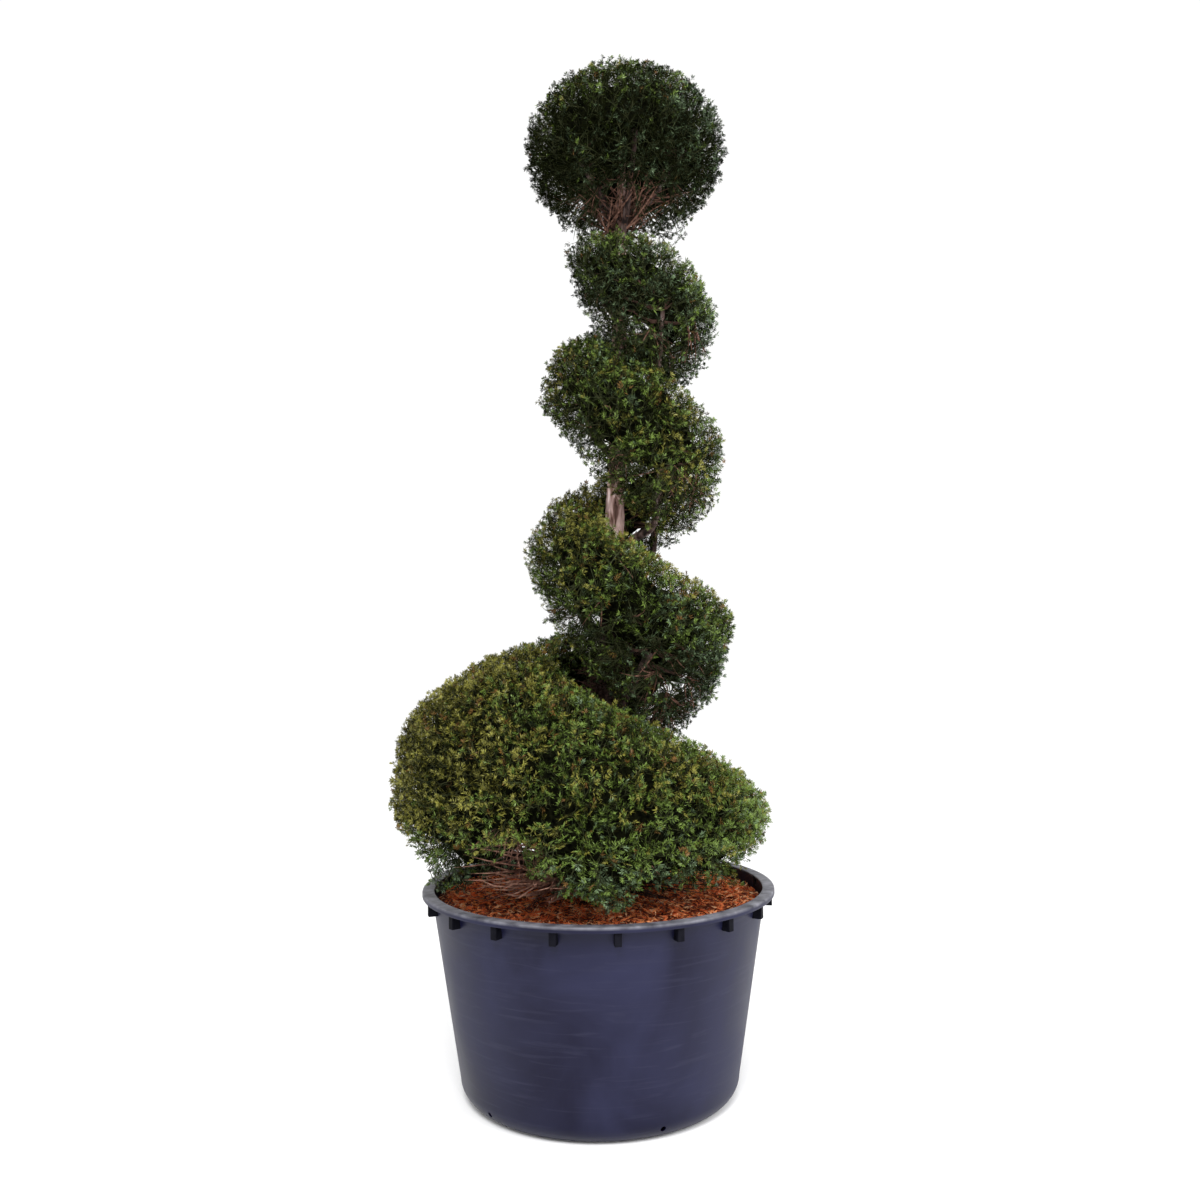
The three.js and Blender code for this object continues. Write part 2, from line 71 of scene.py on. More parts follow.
# The mulch, which lies a little lower at the wall than at the trunk.
SOIL_TOP = 0.515
SOIL_DIP = 0.008
SOIL_CLEAR = 0.0015
CHIP_COUNT = 15000
CHIP_LENGTH = (0.012, 0.030)
CHIP_WIDTH = (0.0025, 0.0060)

# The trunk's middle line and its thickness.
TRUNK_LINE = [(-0.002, 0, 0.490), (0.018, 0.006, 0.800), (0.038, 0.010, 1.200), (0.058, 0.004, 1.600),
              (0.074, 0, 2.100), (0.080, 0.004, 2.380), (0.088, 0.006, 2.600)]
TRUNK_FOOT, TRUNK_TIP = 0.046, 0.008
FLARE_RADIUS, FLARE_HEIGHT = 0.084, 0.110
BARK_RELIEF = 0.0035

# The spiral: how far its tips reach, and their lowest and highest points, half a turn apart. The upper
# turns hang lower in front.
AXIS_LINE = [(-0.022, 0, 0.500), (-0.014, 0, 0.950), (0.084, 0, 1.250), (0.102, 0, 1.600),
             (0.122, 0, 2.100), (0.112, 0, 2.600)]
FIRST_TURN = -0.5
SPIRAL_ROWS = [(0.130, 2.250, 2.345), (0.202, 2.090, 2.325), (0.226, 1.924, 2.220), (0.268, 1.750, 2.045),
               (0.250, 1.499, 1.830), (0.284, 1.250, 1.600), (0.328, 0.905, 1.335), (0.546, 0.650, 1.212),
               (0.486, 0.598, 0.922), (0.420, 0.600, 0.675)]
FRONT_SAG, SAG_START, SAG_FROM, SAG_UNTIL = 0.095, 0.04, 1.5, 2.2

# The shape of a section. Crown and keel say where across its width it is highest and lowest, waist where
# up its height it is widest. The powers say how square it is above and below the waist.
TURN_SECTION = {"crown": 0.5, "keel": 0.5, "waist": 0.5, "crown_power": 0.8, "keel_power": 0.8,
                "slope": 1.0, "lumps": 1.0}
BASE_SECTION = {"crown": 0.32, "keel": 0.62, "waist": 0.36, "crown_power": 1.0, "keel_power": 0.8,
                "slope": 0.0, "lumps": 0.4}
SECTION_FROM, SECTION_UNTIL = 2.5, 2.95
FRINGE = 0.032

# The masses of foliage: their ends in turns. Each of the three upper turns has one on the left and two on
# the right, and the first mass starts a little early.
TURN_SIDES = ("left", "front_right", "back_right")
MASSES = {f"turn_{i // 3 + 1}_{TURN_SIDES[i % 3]}": ((2 * i - 1) / 6, (2 * i + 1) / 6) for i in range(9)}
MASSES["turn_1_left"] = (-0.34, 1 / 6)
MASSES.update({"base_back_left": (17 / 6, 3), "base_front_left": (3, 3.2), "base_front_right": (3.2, 3.45),
               "base_back_right": (3.45, 3.75)})
# A mass's bough leaves the trunk this far below the place where it enters the mass.
BOUGH_DROP, BOUGH_LOWEST = 0.080, 0.572
BOUGH_ENTRY_ANGLE, BOUGH_ENTRY_INSET = -0.58 * math.pi, 0.024
BOUGH_ROOTS, BOUGH_TAPER = (0.010, 0.020), 0.55
BASE_START = 2.8

# Where the underside hangs over the mulch: the turn, how far to each side, and how deep.
HANGING = ((3.082, 0.028, 0.085), (3.235, 0.020, 0.050), (3.275, 0.020, 0.075), (3.335, 0.018, 0.040),
           (3.385, 0.016, 0.050), (3.445, 0.012, 0.085))
TIER_DROOP = 0.035
# The direction in turns that a mass opens to underneath, and how wide the opening is.
RIGHT_TURN, RIGHT_WIDTH = 0.52, 0.15
# Where the base is hollow underneath, in turns.
HOLLOW_FROM, HOLLOW_UNTIL, HOLLOW_EDGE = 3.115, 3.215, 0.02

# The ball on top, open below where its boughs fan out.
BALL_CENTRE = np.array((0.092, 0, 2.542))
BALL_RADIUS, BALL_RISE = 0.288, 0.240
BALL_HOLLOW = 2.485
BALL_BOUGHS = 5
BALL_BOUGH_FROM, BALL_BOUGH_STEP, BALL_SPREAD = 2.285, 0.022, 0.62
BALL_BOUGH_ROOT, BALL_BOUGH_TIP = 0.010, 0.006
BALL_LOWEST_POLAR = math.radians(158)
# The heights between which the trunk shows bare under the ball.
BALL_STEM = (2.285, 2.360)
# The tails of sprays under the ball: their azimuths and how deep they hang.
BALL_TAILS = ((math.radians(198), 0.110), (math.radians(338), 0.080))
TAIL_WIDTH = 0.16

# Sprays: a twig that ends at the clipped surface, with shoots in two ranks and needles on each shoot.
BRANCHES, BALL_BRANCHES, BRANCH_SITES_PER_SQUARE_METRE = 26, 34, 2000
SPRAYS_PER_SQUARE_METRE = 1300
SPRAY_INSET = 0.020
SHOOTS = 6
SHOOT_LENGTH = (0.024, 0.042)
SHOOT_SHORTEST = 0.010
SHOOT_ANGLES = (0.40, 1.05)
NEEDLES = 12
NEEDLE_LENGTH = 0.0165
NEEDLE_WIDTH = 0.0023
CLUMP_SIZE, CLUMP_DEPTH = 0.009, 0.007
BARE_TWIGS_PER_SQUARE_METRE = 850
BARE_TWIG_REACH = 0.15
BALL_BARE_SHARE = 0.22
BALL_FAN_TWIGS = 75
LOW_STEMS = 60
LOW_STEM_HEIGHTS = (0.540, 0.680)
BRUSHWOOD = 520
BRUSHWOOD_REACH = (0.12, 0.40)
BRUSHWOOD_TOP = 0.740
MULCH_TOP = 0.525
TRUNK_TWIGS_PER_METRE = 800
TRUNK_TWIG_MASSES = ("ball", "turn_1_left", "turn_3_front_right", "turn_3_back_right", "base_front_left")
# Each kind of wood: its material's number, its radii at the root and the tip, and its sides.
WOOD = {
    "branch": (0, 0.0050, 0.0024, 4),
    "spray": (2, 0.0019, 0.0009, 3),
    "dead": (0, 0.0030, 0.0010, 3),
    "bare": (1, 0.0026, 0.0010, 3),
    # Painted light: the pale kind, on the low stems, takes a lighter copy of the bare twigs' bark, as they
    # stand in the base's shadow.
    "pale": (3, 0.0040, 0.0013, 3),
    "shoot": (2, 0.0009, 0.0004, 3),
}

# The dark shape inside each mass. It hangs lower under the base, and draws back where the base is hollow.
SHADE_INSET = 0.076
SHADE_ABOVE, SHADE_BELOW = 0.90, 0.70
SHADE_HANG, SHADE_LIFT = 0.055, 0.115
SHADE_LUMPS, SHADE_LUMP_SIZE = 0.012, 0.03
BALL_SHADE_FRONT, BALL_SHADE_BACK = 100, 34

# How finely a surface is measured, and the steps of a sequence that fills a square evenly.
GRID_STEPS = 90
EVEN_STEPS = np.array((0.7548776662, 0.5698402910))

# ---------------------------------------------------------------- numbers and curves


def unit(vectors):
    return vectors / np.maximum(np.linalg.norm(vectors, axis=-1, keepdims=True), 1e-12)


def smooth_line(rows, at, centripetal=False):
    """Points of a curve that passes through all the rows, at places from 0 to 1."""
    rows = np.asarray(rows, float)
    rows = np.vstack([2 * rows[0] - rows[1], rows, 2 * rows[-1] - rows[-2]])
    place = np.clip(np.asarray(at, float), 0, 1) * (len(rows) - 3)
    index = np.minimum(place.astype(int), len(rows) - 4)
    t = (place - index)[..., None]
    p0, p1, p2, p3 = (rows[index + k] for k in range(4))
    if centripetal:
        gaps = np.linalg.norm(np.diff(rows, axis=0), axis=1) ** 0.5
        g0, g1, g2 = (gaps[index + k][..., None] for k in range(3))
        start = ((p1 - p0) / g0 - (p2 - p0) / (g0 + g1) + (p2 - p1) / g1) * g1
        end = ((p2 - p1) / g1 - (p3 - p1) / (g1 + g2) + (p3 - p2) / g2) * g1
    else:
        start, end = (p2 - p0) / 2, (p3 - p1) / 2
    return (p1 * (2 * t**3 - 3 * t**2 + 1) + start * (t**3 - 2 * t**2 + t)
            + p2 * (3 * t**2 - 2 * t**3) + end * (t**3 - t**2))


FINE = np.linspace(0, 1, 600)
TRUNK_POINTS = smooth_line(TRUNK_LINE, FINE, centripetal=True)
AXIS_POINTS = smooth_line(AXIS_LINE, FINE, centripetal=True)


def at_height(points, height):
    """The points of a rising line at these heights."""
    return np.stack([np.interp(height, points[:, 2], points[:, axis]) for axis in range(3)], axis=-1)


def trunk_radius(at):
    above = at * (TRUNK_LINE[-1][2] - TRUNK_LINE[0][2]) / FLARE_HEIGHT
    flare = (FLARE_RADIUS - TRUNK_FOOT) * np.exp(-2.2 * above)
    return TRUNK_FOOT + (TRUNK_TIP - TRUNK_FOOT) * at**0.85 + flare


def round_point(radius, azimuth, height):
    """Points at these distances and directions from the Z axis."""
    return np.stack(np.broadcast_arrays(radius * np.cos(azimuth), radius * np.sin(azimuth), height), axis=-1)


def eased(values, start, end):
    """Rises smoothly from 0 at start to 1 at end."""
    t = np.clip((values - start) / (end - start), 0, 1)
    return t * t * (3 - 2 * t)


def signed_power(values, power):
    return np.sign(values) * np.abs(values) ** power


def patches(points, size, seed):
    """A smooth random value from -1 to 1 that changes over about this distance."""
    random = np.random.default_rng(seed)
    waves = random.normal(size=(7, 3)) * (1.1 / size)
    phases = random.uniform(0, TAU, 7)
    return np.sin(points @ waves.T + phases).sum(-1) / 3.2


# ---------------------------------------------------------------- surfaces of the masses


def spiral_at(turn):
    rows = smooth_line(SPIRAL_ROWS, (turn - FIRST_TURN) / (0.5 * (len(SPIRAL_ROWS) - 1)))
    upper = 1 - eased(turn, SAG_FROM, SAG_UNTIL)
    sag = FRONT_SAG * upper * np.maximum(0, np.sin(TAU * (turn - SAG_START)))
    return rows[..., 0], rows[..., 1] - sag, rows[..., 2]


def section_at(turn):
    share = eased(turn, SECTION_FROM, SECTION_UNTIL)
    return {name: value + (BASE_SECTION[name] - value) * share for name, value in TURN_SECTION.items()}


def band_point(turn, around, inset=0.0):
    """Points of the clipped spiral. The section is a rounded wedge, tallest beside the trunk."""
    reach, bottom, top = spiral_at(turn)
    section = section_at(turn)
    above = np.sin(around) > 0
    power = np.where(above, section["crown_power"], section["keel_power"])
    across = signed_power(np.cos(around), power)
    up = signed_power(np.sin(around), power)
    inner = 0.024 + 0.05 * reach
    ridge = inner + (reach - inner) * np.where(above, section["crown"], section["keel"])
    radius = ridge + (np.where(across > 0, reach - ridge, ridge - inner) - inset) * across
    waist = bottom + (top - bottom) * section["waist"]
    slope = section["slope"] * np.where(above, 0.09, -0.07) * (0.3 - across) * np.abs(up)
    half_height = np.where(above, top - waist, waist - bottom) - inset
    height = waist + 0.95 * half_height * up + (top - bottom) * slope
    azimuth = math.pi + TAU * turn
    lumps = 0.04 * np.sin(3.6 * azimuth + 2.1 * around) + 0.03 * np.sin(5 * around + 3.7 * turn)
    outwards = radius * (1 + section["lumps"] * lumps)
    return at_height(AXIS_POINTS, height) * (1, 1, 0) + round_point(outwards, azimuth, height)


def band_middle(turn):
    ends = [band_point(turn, np.full_like(turn, angle), FRINGE) for angle in (0.0, math.pi)]
    return (ends[0] + ends[1]) / 2


def ball_point(azimuth, polar, inset=0.0):
    across = (BALL_RADIUS - inset) * np.sin(polar)
    return BALL_CENTRE + round_point(across, azimuth, (BALL_RISE - inset) * np.cos(polar))


class Surface:
    """A clipped surface over two parameters, with its ranges and the line inside that carries it."""

    def __init__(self, point, first, second, middle, seed):
        self.point, self.first, self.second, self.middle = point, first, second, middle
        self.random = np.random.default_rng(seed)

    def grid(self):
        u = np.linspace(*self.first, GRID_STEPS)
        v = np.linspace(*self.second, GRID_STEPS)
        return u, v, self.point(*np.meshgrid(u, v, indexing="ij"), FRINGE)

    def sites(self, density, thinning=None):
        """Places spread evenly over the surface by area. thinning(u, v) gives the share that is kept."""
        u, v, points = self.grid()
        sides = np.cross(points[1:, :-1] - points[:-1, :-1], points[:-1, 1:] - points[:-1, :-1])
        share = np.linalg.norm(sides, axis=-1)
        if thinning is not None:
            share = share * thinning(*np.meshgrid((u[1:] + u[:-1]) / 2, (v[1:] + v[:-1]) / 2, indexing="ij"))
        count = int(round(share.sum() * density))
        even = (0.5 + np.arange(count)[:, None] * EVEN_STEPS) % 1
        jitter = self.random.uniform(-0.4, 0.4, (count, 2)) / math.sqrt(count)
        even = np.clip(even + jitter, 0, 1)
        across = np.concatenate([[0], np.cumsum(share.sum(1))]) / share.sum()
        place_u = np.interp(even[:, 0], across, u)
        row = np.clip(np.searchsorted(u, place_u) - 1, 0, len(share) - 1)
        place_v = np.empty(count)
        for i in np.unique(row):
            along = np.concatenate([[0], np.cumsum(share[i])]) / share[i].sum()
            place_v[row == i] = np.interp(even[row == i, 1], along, v)
        return place_u, place_v

    def normal(self, u, v):
        step = 1e-3
        along_u = self.point(u + step, v, 0.0) - self.point(u - step, v, 0.0)
        along_v = self.point(u, v + step, 0.0) - self.point(u, v - step, 0.0)
        normal = unit(np.cross(along_u, along_v))
        outwards = self.point(u, v, 0.0) - self.middle(u)
        return normal * np.sign(np.sum(normal * outwards, axis=-1, keepdims=True))


def ball_middle(azimuth):
    return np.broadcast_to(BALL_CENTRE + np.array((0, 0, -0.03)), (*np.shape(azimuth), 3))


def mass_surfaces():
    """Every mass's clipped surface by name."""
    surfaces = {name: Surface(band_point, (start, end), (-math.pi, math.pi), band_middle, 11 + i)
                for i, (name, (start, end)) in enumerate(MASSES.items())}
    surfaces["ball"] = Surface(ball_point, (0, TAU), (0.0, BALL_LOWEST_POLAR), ball_middle, 5)
    return surfaces


# ---------------------------------------------------------------- meshes from arrays


def array_piece(name, points, faces, materials, tints=None, smooth=False):
    """One joined mesh of triangles, each with the number of its material."""
    mesh = bpy.data.meshes.new(name)
    mesh.vertices.add(len(points))
    mesh.vertices.foreach_set("co", np.asarray(points, np.float32).ravel())
    mesh.loops.add(faces.size)
    mesh.loops.foreach_set("vertex_index", np.asarray(faces, np.int32).ravel())
    mesh.polygons.add(len(faces))
    mesh.polygons.foreach_set("loop_start", np.arange(0, faces.size, 3, dtype=np.int32))
    for material in materials:
        mesh.materials.append(material)
    if tints is not None:
        mesh.polygons.foreach_set("material_index", np.asarray(tints, np.int32))
    mesh.polygons.foreach_set("use_smooth", np.full(len(faces), smooth))
    mesh.update(calc_edges=True)
    piece = bpy.data.objects.new(name, mesh)
    bpy.context.scene.collection.objects.link(piece)
    return piece


def tubes(lines, root, tip, sides):
    """Closed tapering limbs along lines of points (count, stations, 3), each running out to a point."""
    count, stations = lines.shape[:2]
    along = unit(np.gradient(lines, axis=1))
    overall = unit(lines[:, -1] - lines[:, 0])
    steep = np.abs(overall[:, 2:]) > 0.8
    helper = np.where(steep, (1.0, 0.0, 0.0), (0.0, 0.0, 1.0))[:, None]
    side = unit(np.cross(along, helper))
    other = np.cross(along, side)
    angle = np.arange(sides) * TAU / sides
    ring = (np.cos(angle)[:, None] * side[:, :-1, None] + np.sin(angle)[:, None] * other[:, :-1, None])
    radii = np.linspace(root, tip, stations)
    rings = lines[:, :-1, None] + radii[:-1, None, None] * ring
    points = np.concatenate([rings.reshape(count, -1, 3), lines[:, -1:]], axis=1)
    faces = []
    for i in range(sides):
        following = (i + 1) % sides
        for j in range(stations - 2):
            low, high = j * sides, (j + 1) * sides
            faces += [(low + i, low + following, high + following), (low + i, high + following, high + i)]
        last = (stations - 2) * sides
        faces.append((last + i, last + following, (stations - 1) * sides))
    faces += [(0, i + 1, i) for i in range(1, sides - 1)]
    offsets = np.arange(count)[:, None, None] * points.shape[1]
    return points.reshape(-1, 3), (np.array(faces)[None] + offsets).reshape(-1, 3)


def joined(parts):
    """Several (points, faces) as one."""
    offsets = np.cumsum([0] + [len(points) for points, _ in parts[:-1]])
    points = np.concatenate([points for points, _ in parts])
    faces = np.concatenate([faces + offset for (_, faces), offset in zip(parts, offsets)])
    return points, faces


# ---------------------------------------------------------------- materials


def new_material(name, roughness, specular=0.5):
    material = bpy.data.materials.new(name)
    material.use_nodes = True
    shader = material.node_tree.nodes["Principled BSDF"]
    shader.inputs["Roughness"].default_value = roughness
    shader.inputs["Specular IOR Level"].default_value = specular
    return material, material.node_tree, shader


def object_pattern(tree, scale, stretch=(1, 1, 1), detail=4.0, distortion=0.0):
    """A noise pattern on the object's own coordinates."""
    coordinates = tree.nodes.new("ShaderNodeTexCoord")
    mapping = tree.nodes.new("ShaderNodeMapping")
    mapping.inputs["Scale"].default_value = stretch
    noise = tree.nodes.new("ShaderNodeTexNoise")
    noise.inputs["Scale"].default_value = scale
    noise.inputs["Detail"].default_value = detail
    noise.inputs["Distortion"].default_value = distortion
    tree.links.new(coordinates.outputs["Object"], mapping.inputs["Vector"])
    tree.links.new(mapping.outputs["Vector"], noise.inputs["Vector"])
    return noise.outputs["Fac"]


def height_share(tree, start, end):
    """Rises from 0 to 1 between two heights."""
    coordinates = tree.nodes.new("ShaderNodeTexCoord")
    parts = tree.nodes.new("ShaderNodeSeparateXYZ")
    share = tree.nodes.new("ShaderNodeMapRange")
    share.inputs["From Min"].default_value, share.inputs["From Max"].default_value = start, end
    tree.links.new(coordinates.outputs["Object"], parts.inputs["Vector"])
    tree.links.new(parts.outputs["Z"], share.inputs["Value"])
    return share.outputs["Result"]


def colour_steps(tree, value, stops):
    """Colours spread over a pattern's value. stops are (place, colour)."""
    ramp = tree.nodes.new("ShaderNodeValToRGB")
    while len(ramp.color_ramp.elements) < len(stops):
        ramp.color_ramp.elements.new(0.5)
    for element, (place, colour) in zip(ramp.color_ramp.elements, stops):
        element.position = place
        element.color = (*colour, 1)
    tree.links.new(value, ramp.inputs["Fac"])
    return ramp.outputs["Color"]


def blended(tree, factor, first, second, mode="MIX"):
    """Mixes two colours, each a socket or a plain colour."""
    mix = tree.nodes.new("ShaderNodeMix")
    mix.data_type = "RGBA"
    mix.blend_type = mode
    for socket, value in ((mix.inputs[0], factor), (mix.inputs[6], first), (mix.inputs[7], second)):
        if isinstance(value, bpy.types.NodeSocket):
            tree.links.new(value, socket)
        else:
            socket.default_value = value if isinstance(value, float) else (*value, 1)
    return mix.outputs[2]


def bumped(tree, shader, height, strength, distance):
    bump = tree.nodes.new("ShaderNodeBump")
    bump.inputs["Strength"].default_value = strength
    bump.inputs["Distance"].default_value = distance
    tree.links.new(height, bump.inputs["Height"])
    tree.links.new(bump.outputs["Normal"], shader.inputs["Normal"])


def mottled_material(name, dark, light, scale, roughness, bump=0.0, specular=0.5):
    """A natural finish whose colour wanders between two tones."""
    material, tree, shader = new_material(name, roughness, specular)
    value = object_pattern(tree, scale)
    colour = colour_steps(tree, value, [(0.32, dark), (0.68, light)])
    tree.links.new(colour, shader.inputs["Base Color"])
    if bump:
        bumped(tree, shader, value, 0.6, bump)
    return material


def scaled(colour, factor):
    return tuple(channel * factor for channel in colour)


# Needle colours: the deep shade inside, and every hue at each of the levels of lightness above it. The levels
# hold painted light and shade as well as the needles' own tone: lit places get the lighter levels, shaded
# places the darker ones and the deep shade.
SHADE_TINT = (0.005, 0.006, 0.002)
NEEDLE_HUES = {
    "green": (0.60, 0.92, 0.14),
    "blue_green": (0.58, 0.88, 0.42),
    "olive": (1.0, 0.96, 0.15),
    "rust": (1.40, 0.72, 0.18),
}
NEEDLE_LEVELS = (0.016, 0.047, 0.099, 0.205)
NEEDLE_GLOSS = (0.03, 0.08, 0.2, 0.4)

# How light a shoot is: a start, a weight for each thing that plays a part, and the steps between levels.
# Most of these paint light and shade: facing up, lying lower, standing on a clump and facing right paint a
# shoot lighter, and lying deep, facing sideways and growing in the ball paint it darker. The low growth over
# the pot and the growth in the dip above the base are painted lighter, as they hang in shadow. Patch, broad,
# spray and shoot are the needles' own tone, at random.
LIGHT_START = 0.36
LIGHT_WEIGHTS = {"upwards": 0.14, "patch": 0.10, "broad": 0.08, "lower": 0.24, "clump": 0.16, "ball": -0.17,
                 "low_growth": 0.18, "dip_painted_light": 0.08, "right": 0.10, "sideways": -0.08, "spray": 0.25,
                 "shoot": 0.48, "depth": -9}
LIGHT_STEPS = (0.10, 0.27, 0.46, 0.68)
# How far a shoot's hue goes from blue-green by green to olive, in the same way.
HUE_START = -0.225
HUE_WEIGHTS = {"upwards": 0.30, "broad": 0.35, "lower": 0.45, "ball": -0.20, "low_growth": -0.16, "right": -0.22,
               "spray": 0.50, "hue": 0.50}
HUE_STEPS = (-0.20, 0.30)
# How much darker a needle is at its shoot's root, painted shade where the root lies deeper in the mass, how
# far needles stray, and the share that has browned.
ROOT_SHADE, NEEDLE_STRAY = 0.30, 0.19
RUST_SHARE, RUST_SHARE_ABOVE = 0.02, 0.04


def needle_materials():
    made = [mottled_material("needles_shade", scaled(SHADE_TINT, 0.6), scaled(SHADE_TINT, 1.5), 70, 0.8,
                             specular=0.0)]
    for hue, colour in NEEDLE_HUES.items():
        for number, (level, gloss) in enumerate(zip(NEEDLE_LEVELS, NEEDLE_GLOSS), 1):
            tone = scaled(colour, level)
            made.append(mottled_material(f"needles_{hue}_{number}", scaled(tone, 0.8), scaled(tone, 1.25), 70,
                                         0.34, specular=gloss))
    return made


def twig_materials():
    return [
        mottled_material("twig_bark", (0.022, 0.012, 0.008), (0.090, 0.050, 0.038), 90, 0.8, specular=0.1),
        mottled_material("bare_twig", (0.040, 0.017, 0.011), (0.290, 0.155, 0.112), 90, 0.8, specular=0.1),
        mottled_material("young_twig", (0.012, 0.018, 0.006), (0.042, 0.046, 0.018), 90, 0.7, specular=0.1),
        # Painted light: a lighter copy of the bare twigs' bark, for the low stems, which stand in the base's
        # shadow.
        mottled_material("lit_twig_painted_light", (0.090, 0.040, 0.026), (0.430, 0.240, 0.175), 60, 0.8, specular=0.1),
    ]


def bark_material(name, light):
    material, tree, shader = new_material(name, 0.82, 0.3)
    flakes = object_pattern(tree, 60, (1, 1, 0.26), 6, 0.8)
    patches_of_light = object_pattern(tree, 14, (1, 1, 0.4), 3)
    ground = colour_steps(tree, flakes, [(0.36, (0.020, 0.009, 0.006)), (0.46, (0.150, 0.085, 0.068)),
                                         (0.58, (0.400, 0.290, 0.265)), (0.70, (0.62, 0.53, 0.52))])
    patchy_tone = colour_steps(tree, patches_of_light, [(0.42, scaled((0.5, 0.42, 0.40), light)),
                                                 (0.62, scaled((1.0, 0.96, 0.95), light))])
    # Painted shade: the bark is darker below 1.25 to 1.5 m, where the trunk and boughs stand in the turns'
    # shade.
    shaded = blended(tree, height_share(tree, 1.25, 1.50), (0.16, 0.13, 0.12), patchy_tone)
    tree.links.new(blended(tree, 1.0, ground, shaded, "MULTIPLY"), shader.inputs["Base Color"])
    bumped(tree, shader, flakes, 0.8, 0.004)
    return material


def pot_material():
    material, tree, shader = new_material("moulded_pot_plastic", 0.42, 0.20)
    scuffs = object_pattern(tree, 16, (0.3, 0.3, 4), 8, 1.2)
    dust = object_pattern(tree, 4.5, (1, 1, 0.8), 7, 0.5)
    fine = object_pattern(tree, 160, detail=2)
    plain, dusty = (0.001, 0.001, 0.015), (0.012, 0.013, 0.040)
    clouded = colour_steps(tree, dust, [(0.34, plain), (0.70, dusty)])
    marks = colour_steps(tree, scuffs, [(0.54, (0, 0, 0)), (0.80, (0.5, 0.5, 0.5))])
    marked = blended(tree, marks, clouded, (0.024, 0.025, 0.052))
    # The rim's top is lighter grey in patches: partly worn and dusty plastic, partly a painted highlight
    # where light grazes it.
    top = height_share(tree, POT_HEIGHT - 0.008, POT_HEIGHT - 0.001)
    rim_wear_and_highlight = object_pattern(tree, 26, detail=6)
    patchy_tone = colour_steps(tree, rim_wear_and_highlight, [(0.30, (0.03, 0.03, 0.04)), (0.70, (0.20, 0.20, 0.23))])
    tree.links.new(blended(tree, top, marked, patchy_tone), shader.inputs["Base Color"])
    gloss = tree.nodes.new("ShaderNodeMapRange")
    gloss.inputs["From Min"].default_value, gloss.inputs["From Max"].default_value = 0.3, 0.7
    gloss.inputs["To Min"].default_value, gloss.inputs["To Max"].default_value = 0.36, 0.56
    tree.links.new(dust, gloss.inputs["Value"])
    tree.links.new(gloss.outputs["Result"], shader.inputs["Roughness"])
    bumped(tree, shader, fine, 0.12, 0.0006)
    return material


def mulch_materials():
    tones = {
        "dark": ((0.060, 0.016, 0.008), (0.260, 0.068, 0.030)),
        "red": ((0.660, 0.160, 0.055), (0.950, 0.290, 0.100)),
        "orange": ((0.880, 0.320, 0.110), (1.000, 0.460, 0.190)),
        "pale": ((0.850, 0.480, 0.240), (1.000, 0.680, 0.420)),
    }
    return [mottled_material(f"mulch_{name}", dark, light, 120, 0.9, 0.001, specular=0.2)
            for name, (dark, light) in tones.items()]


def shade_material():
    return mottled_material("inner_shade", (0.001, 0.001, 0.001), (0.008, 0.009, 0.004), 100, 0.95, 0.01,
                            specular=0.0)


# ---------------------------------------------------------------- modelling


def deselect_all():
    if bpy.context.object and bpy.context.object.mode != "OBJECT":
        bpy.ops.object.mode_set(mode="OBJECT")
    bpy.ops.object.select_all(action="DESELECT")


def select_only(piece):
    deselect_all()
    piece.select_set(True)
    bpy.context.view_layer.objects.active = piece


def close_seams(threshold):
    """In edit mode: merges points that coincide, and turns the faces outwards."""
    bpy.ops.mesh.select_all(action="SELECT")
    bpy.ops.mesh.remove_doubles(threshold=threshold)
    bpy.ops.mesh.normals_make_consistent(inside=False)
    bpy.ops.object.mode_set(mode="OBJECT")


def apply_place(piece):
    select_only(piece)
    bpy.ops.object.transform_apply(location=True, rotation=True, scale=True)


def apply_modifier(piece, kind, **settings):
    """Adds a modifier with these settings and applies it."""
    select_only(piece)
    modifier = piece.modifiers.new(kind.lower(), kind)
    for name, value in settings.items():
        setattr(modifier, name, value)
    bpy.ops.object.modifier_apply(modifier=modifier.name)


def spun_piece(name, profile, steps):
    """A closed shell turned about the pot's axis from points (radius, height)."""
    deselect_all()
    bpy.ops.mesh.primitive_plane_add(size=0.01, location=(profile[0][0], 0, profile[0][1]))
    piece = bpy.context.active_object
    piece.name = piece.data.name = name
    bpy.ops.object.mode_set(mode="EDIT")
    bpy.ops.mesh.merge(type="CENTER")
    for start, end in zip(profile, profile[1:]):
        step = (end[0] - start[0], 0, end[1] - start[1])
        bpy.ops.mesh.extrude_vertices_move(TRANSFORM_OT_translate={"value": step})
    bpy.ops.mesh.select_all(action="SELECT")
    bpy.ops.mesh.spin(steps=steps, angle=TAU, center=(0, 0, 0), axis=(0, 0, 1))
    close_seams(1e-5)
    apply_place(piece)
    return piece


def copies_round(piece, count, first):
    """Turned copies of a piece about the pot's axis, joined into it."""
    made = []
    for i in range(count):
        copy = piece.copy()
        copy.data = piece.data.copy()
        copy.data.transform(Matrix.Rotation(first + TAU * i / count, 4, "Z"))
        bpy.context.scene.collection.objects.link(copy)
        made.append(copy)
    bpy.data.objects.remove(piece)
    deselect_all()
    for copy in made:
        copy.select_set(True)
    bpy.context.view_layer.objects.active = made[0]
    bpy.ops.object.join()
    return bpy.context.active_object


def wall_radius(height):
    return FOOT_RADIUS + (SHOULDER_RADIUS - FOOT_RADIUS) * height / (POT_HEIGHT - LIP_THICKNESS)


def foot_arc(inset):
    """The rounded edge of the foot, from the ground up to the wall."""
    radius = FOOT_ROUNDING - inset
    return [(wall_radius(FOOT_ROUNDING) - FOOT_ROUNDING + radius * math.sin(angle),
             FOOT_ROUNDING - radius * math.cos(angle)) for angle in np.radians(range(0, 91, 10))]


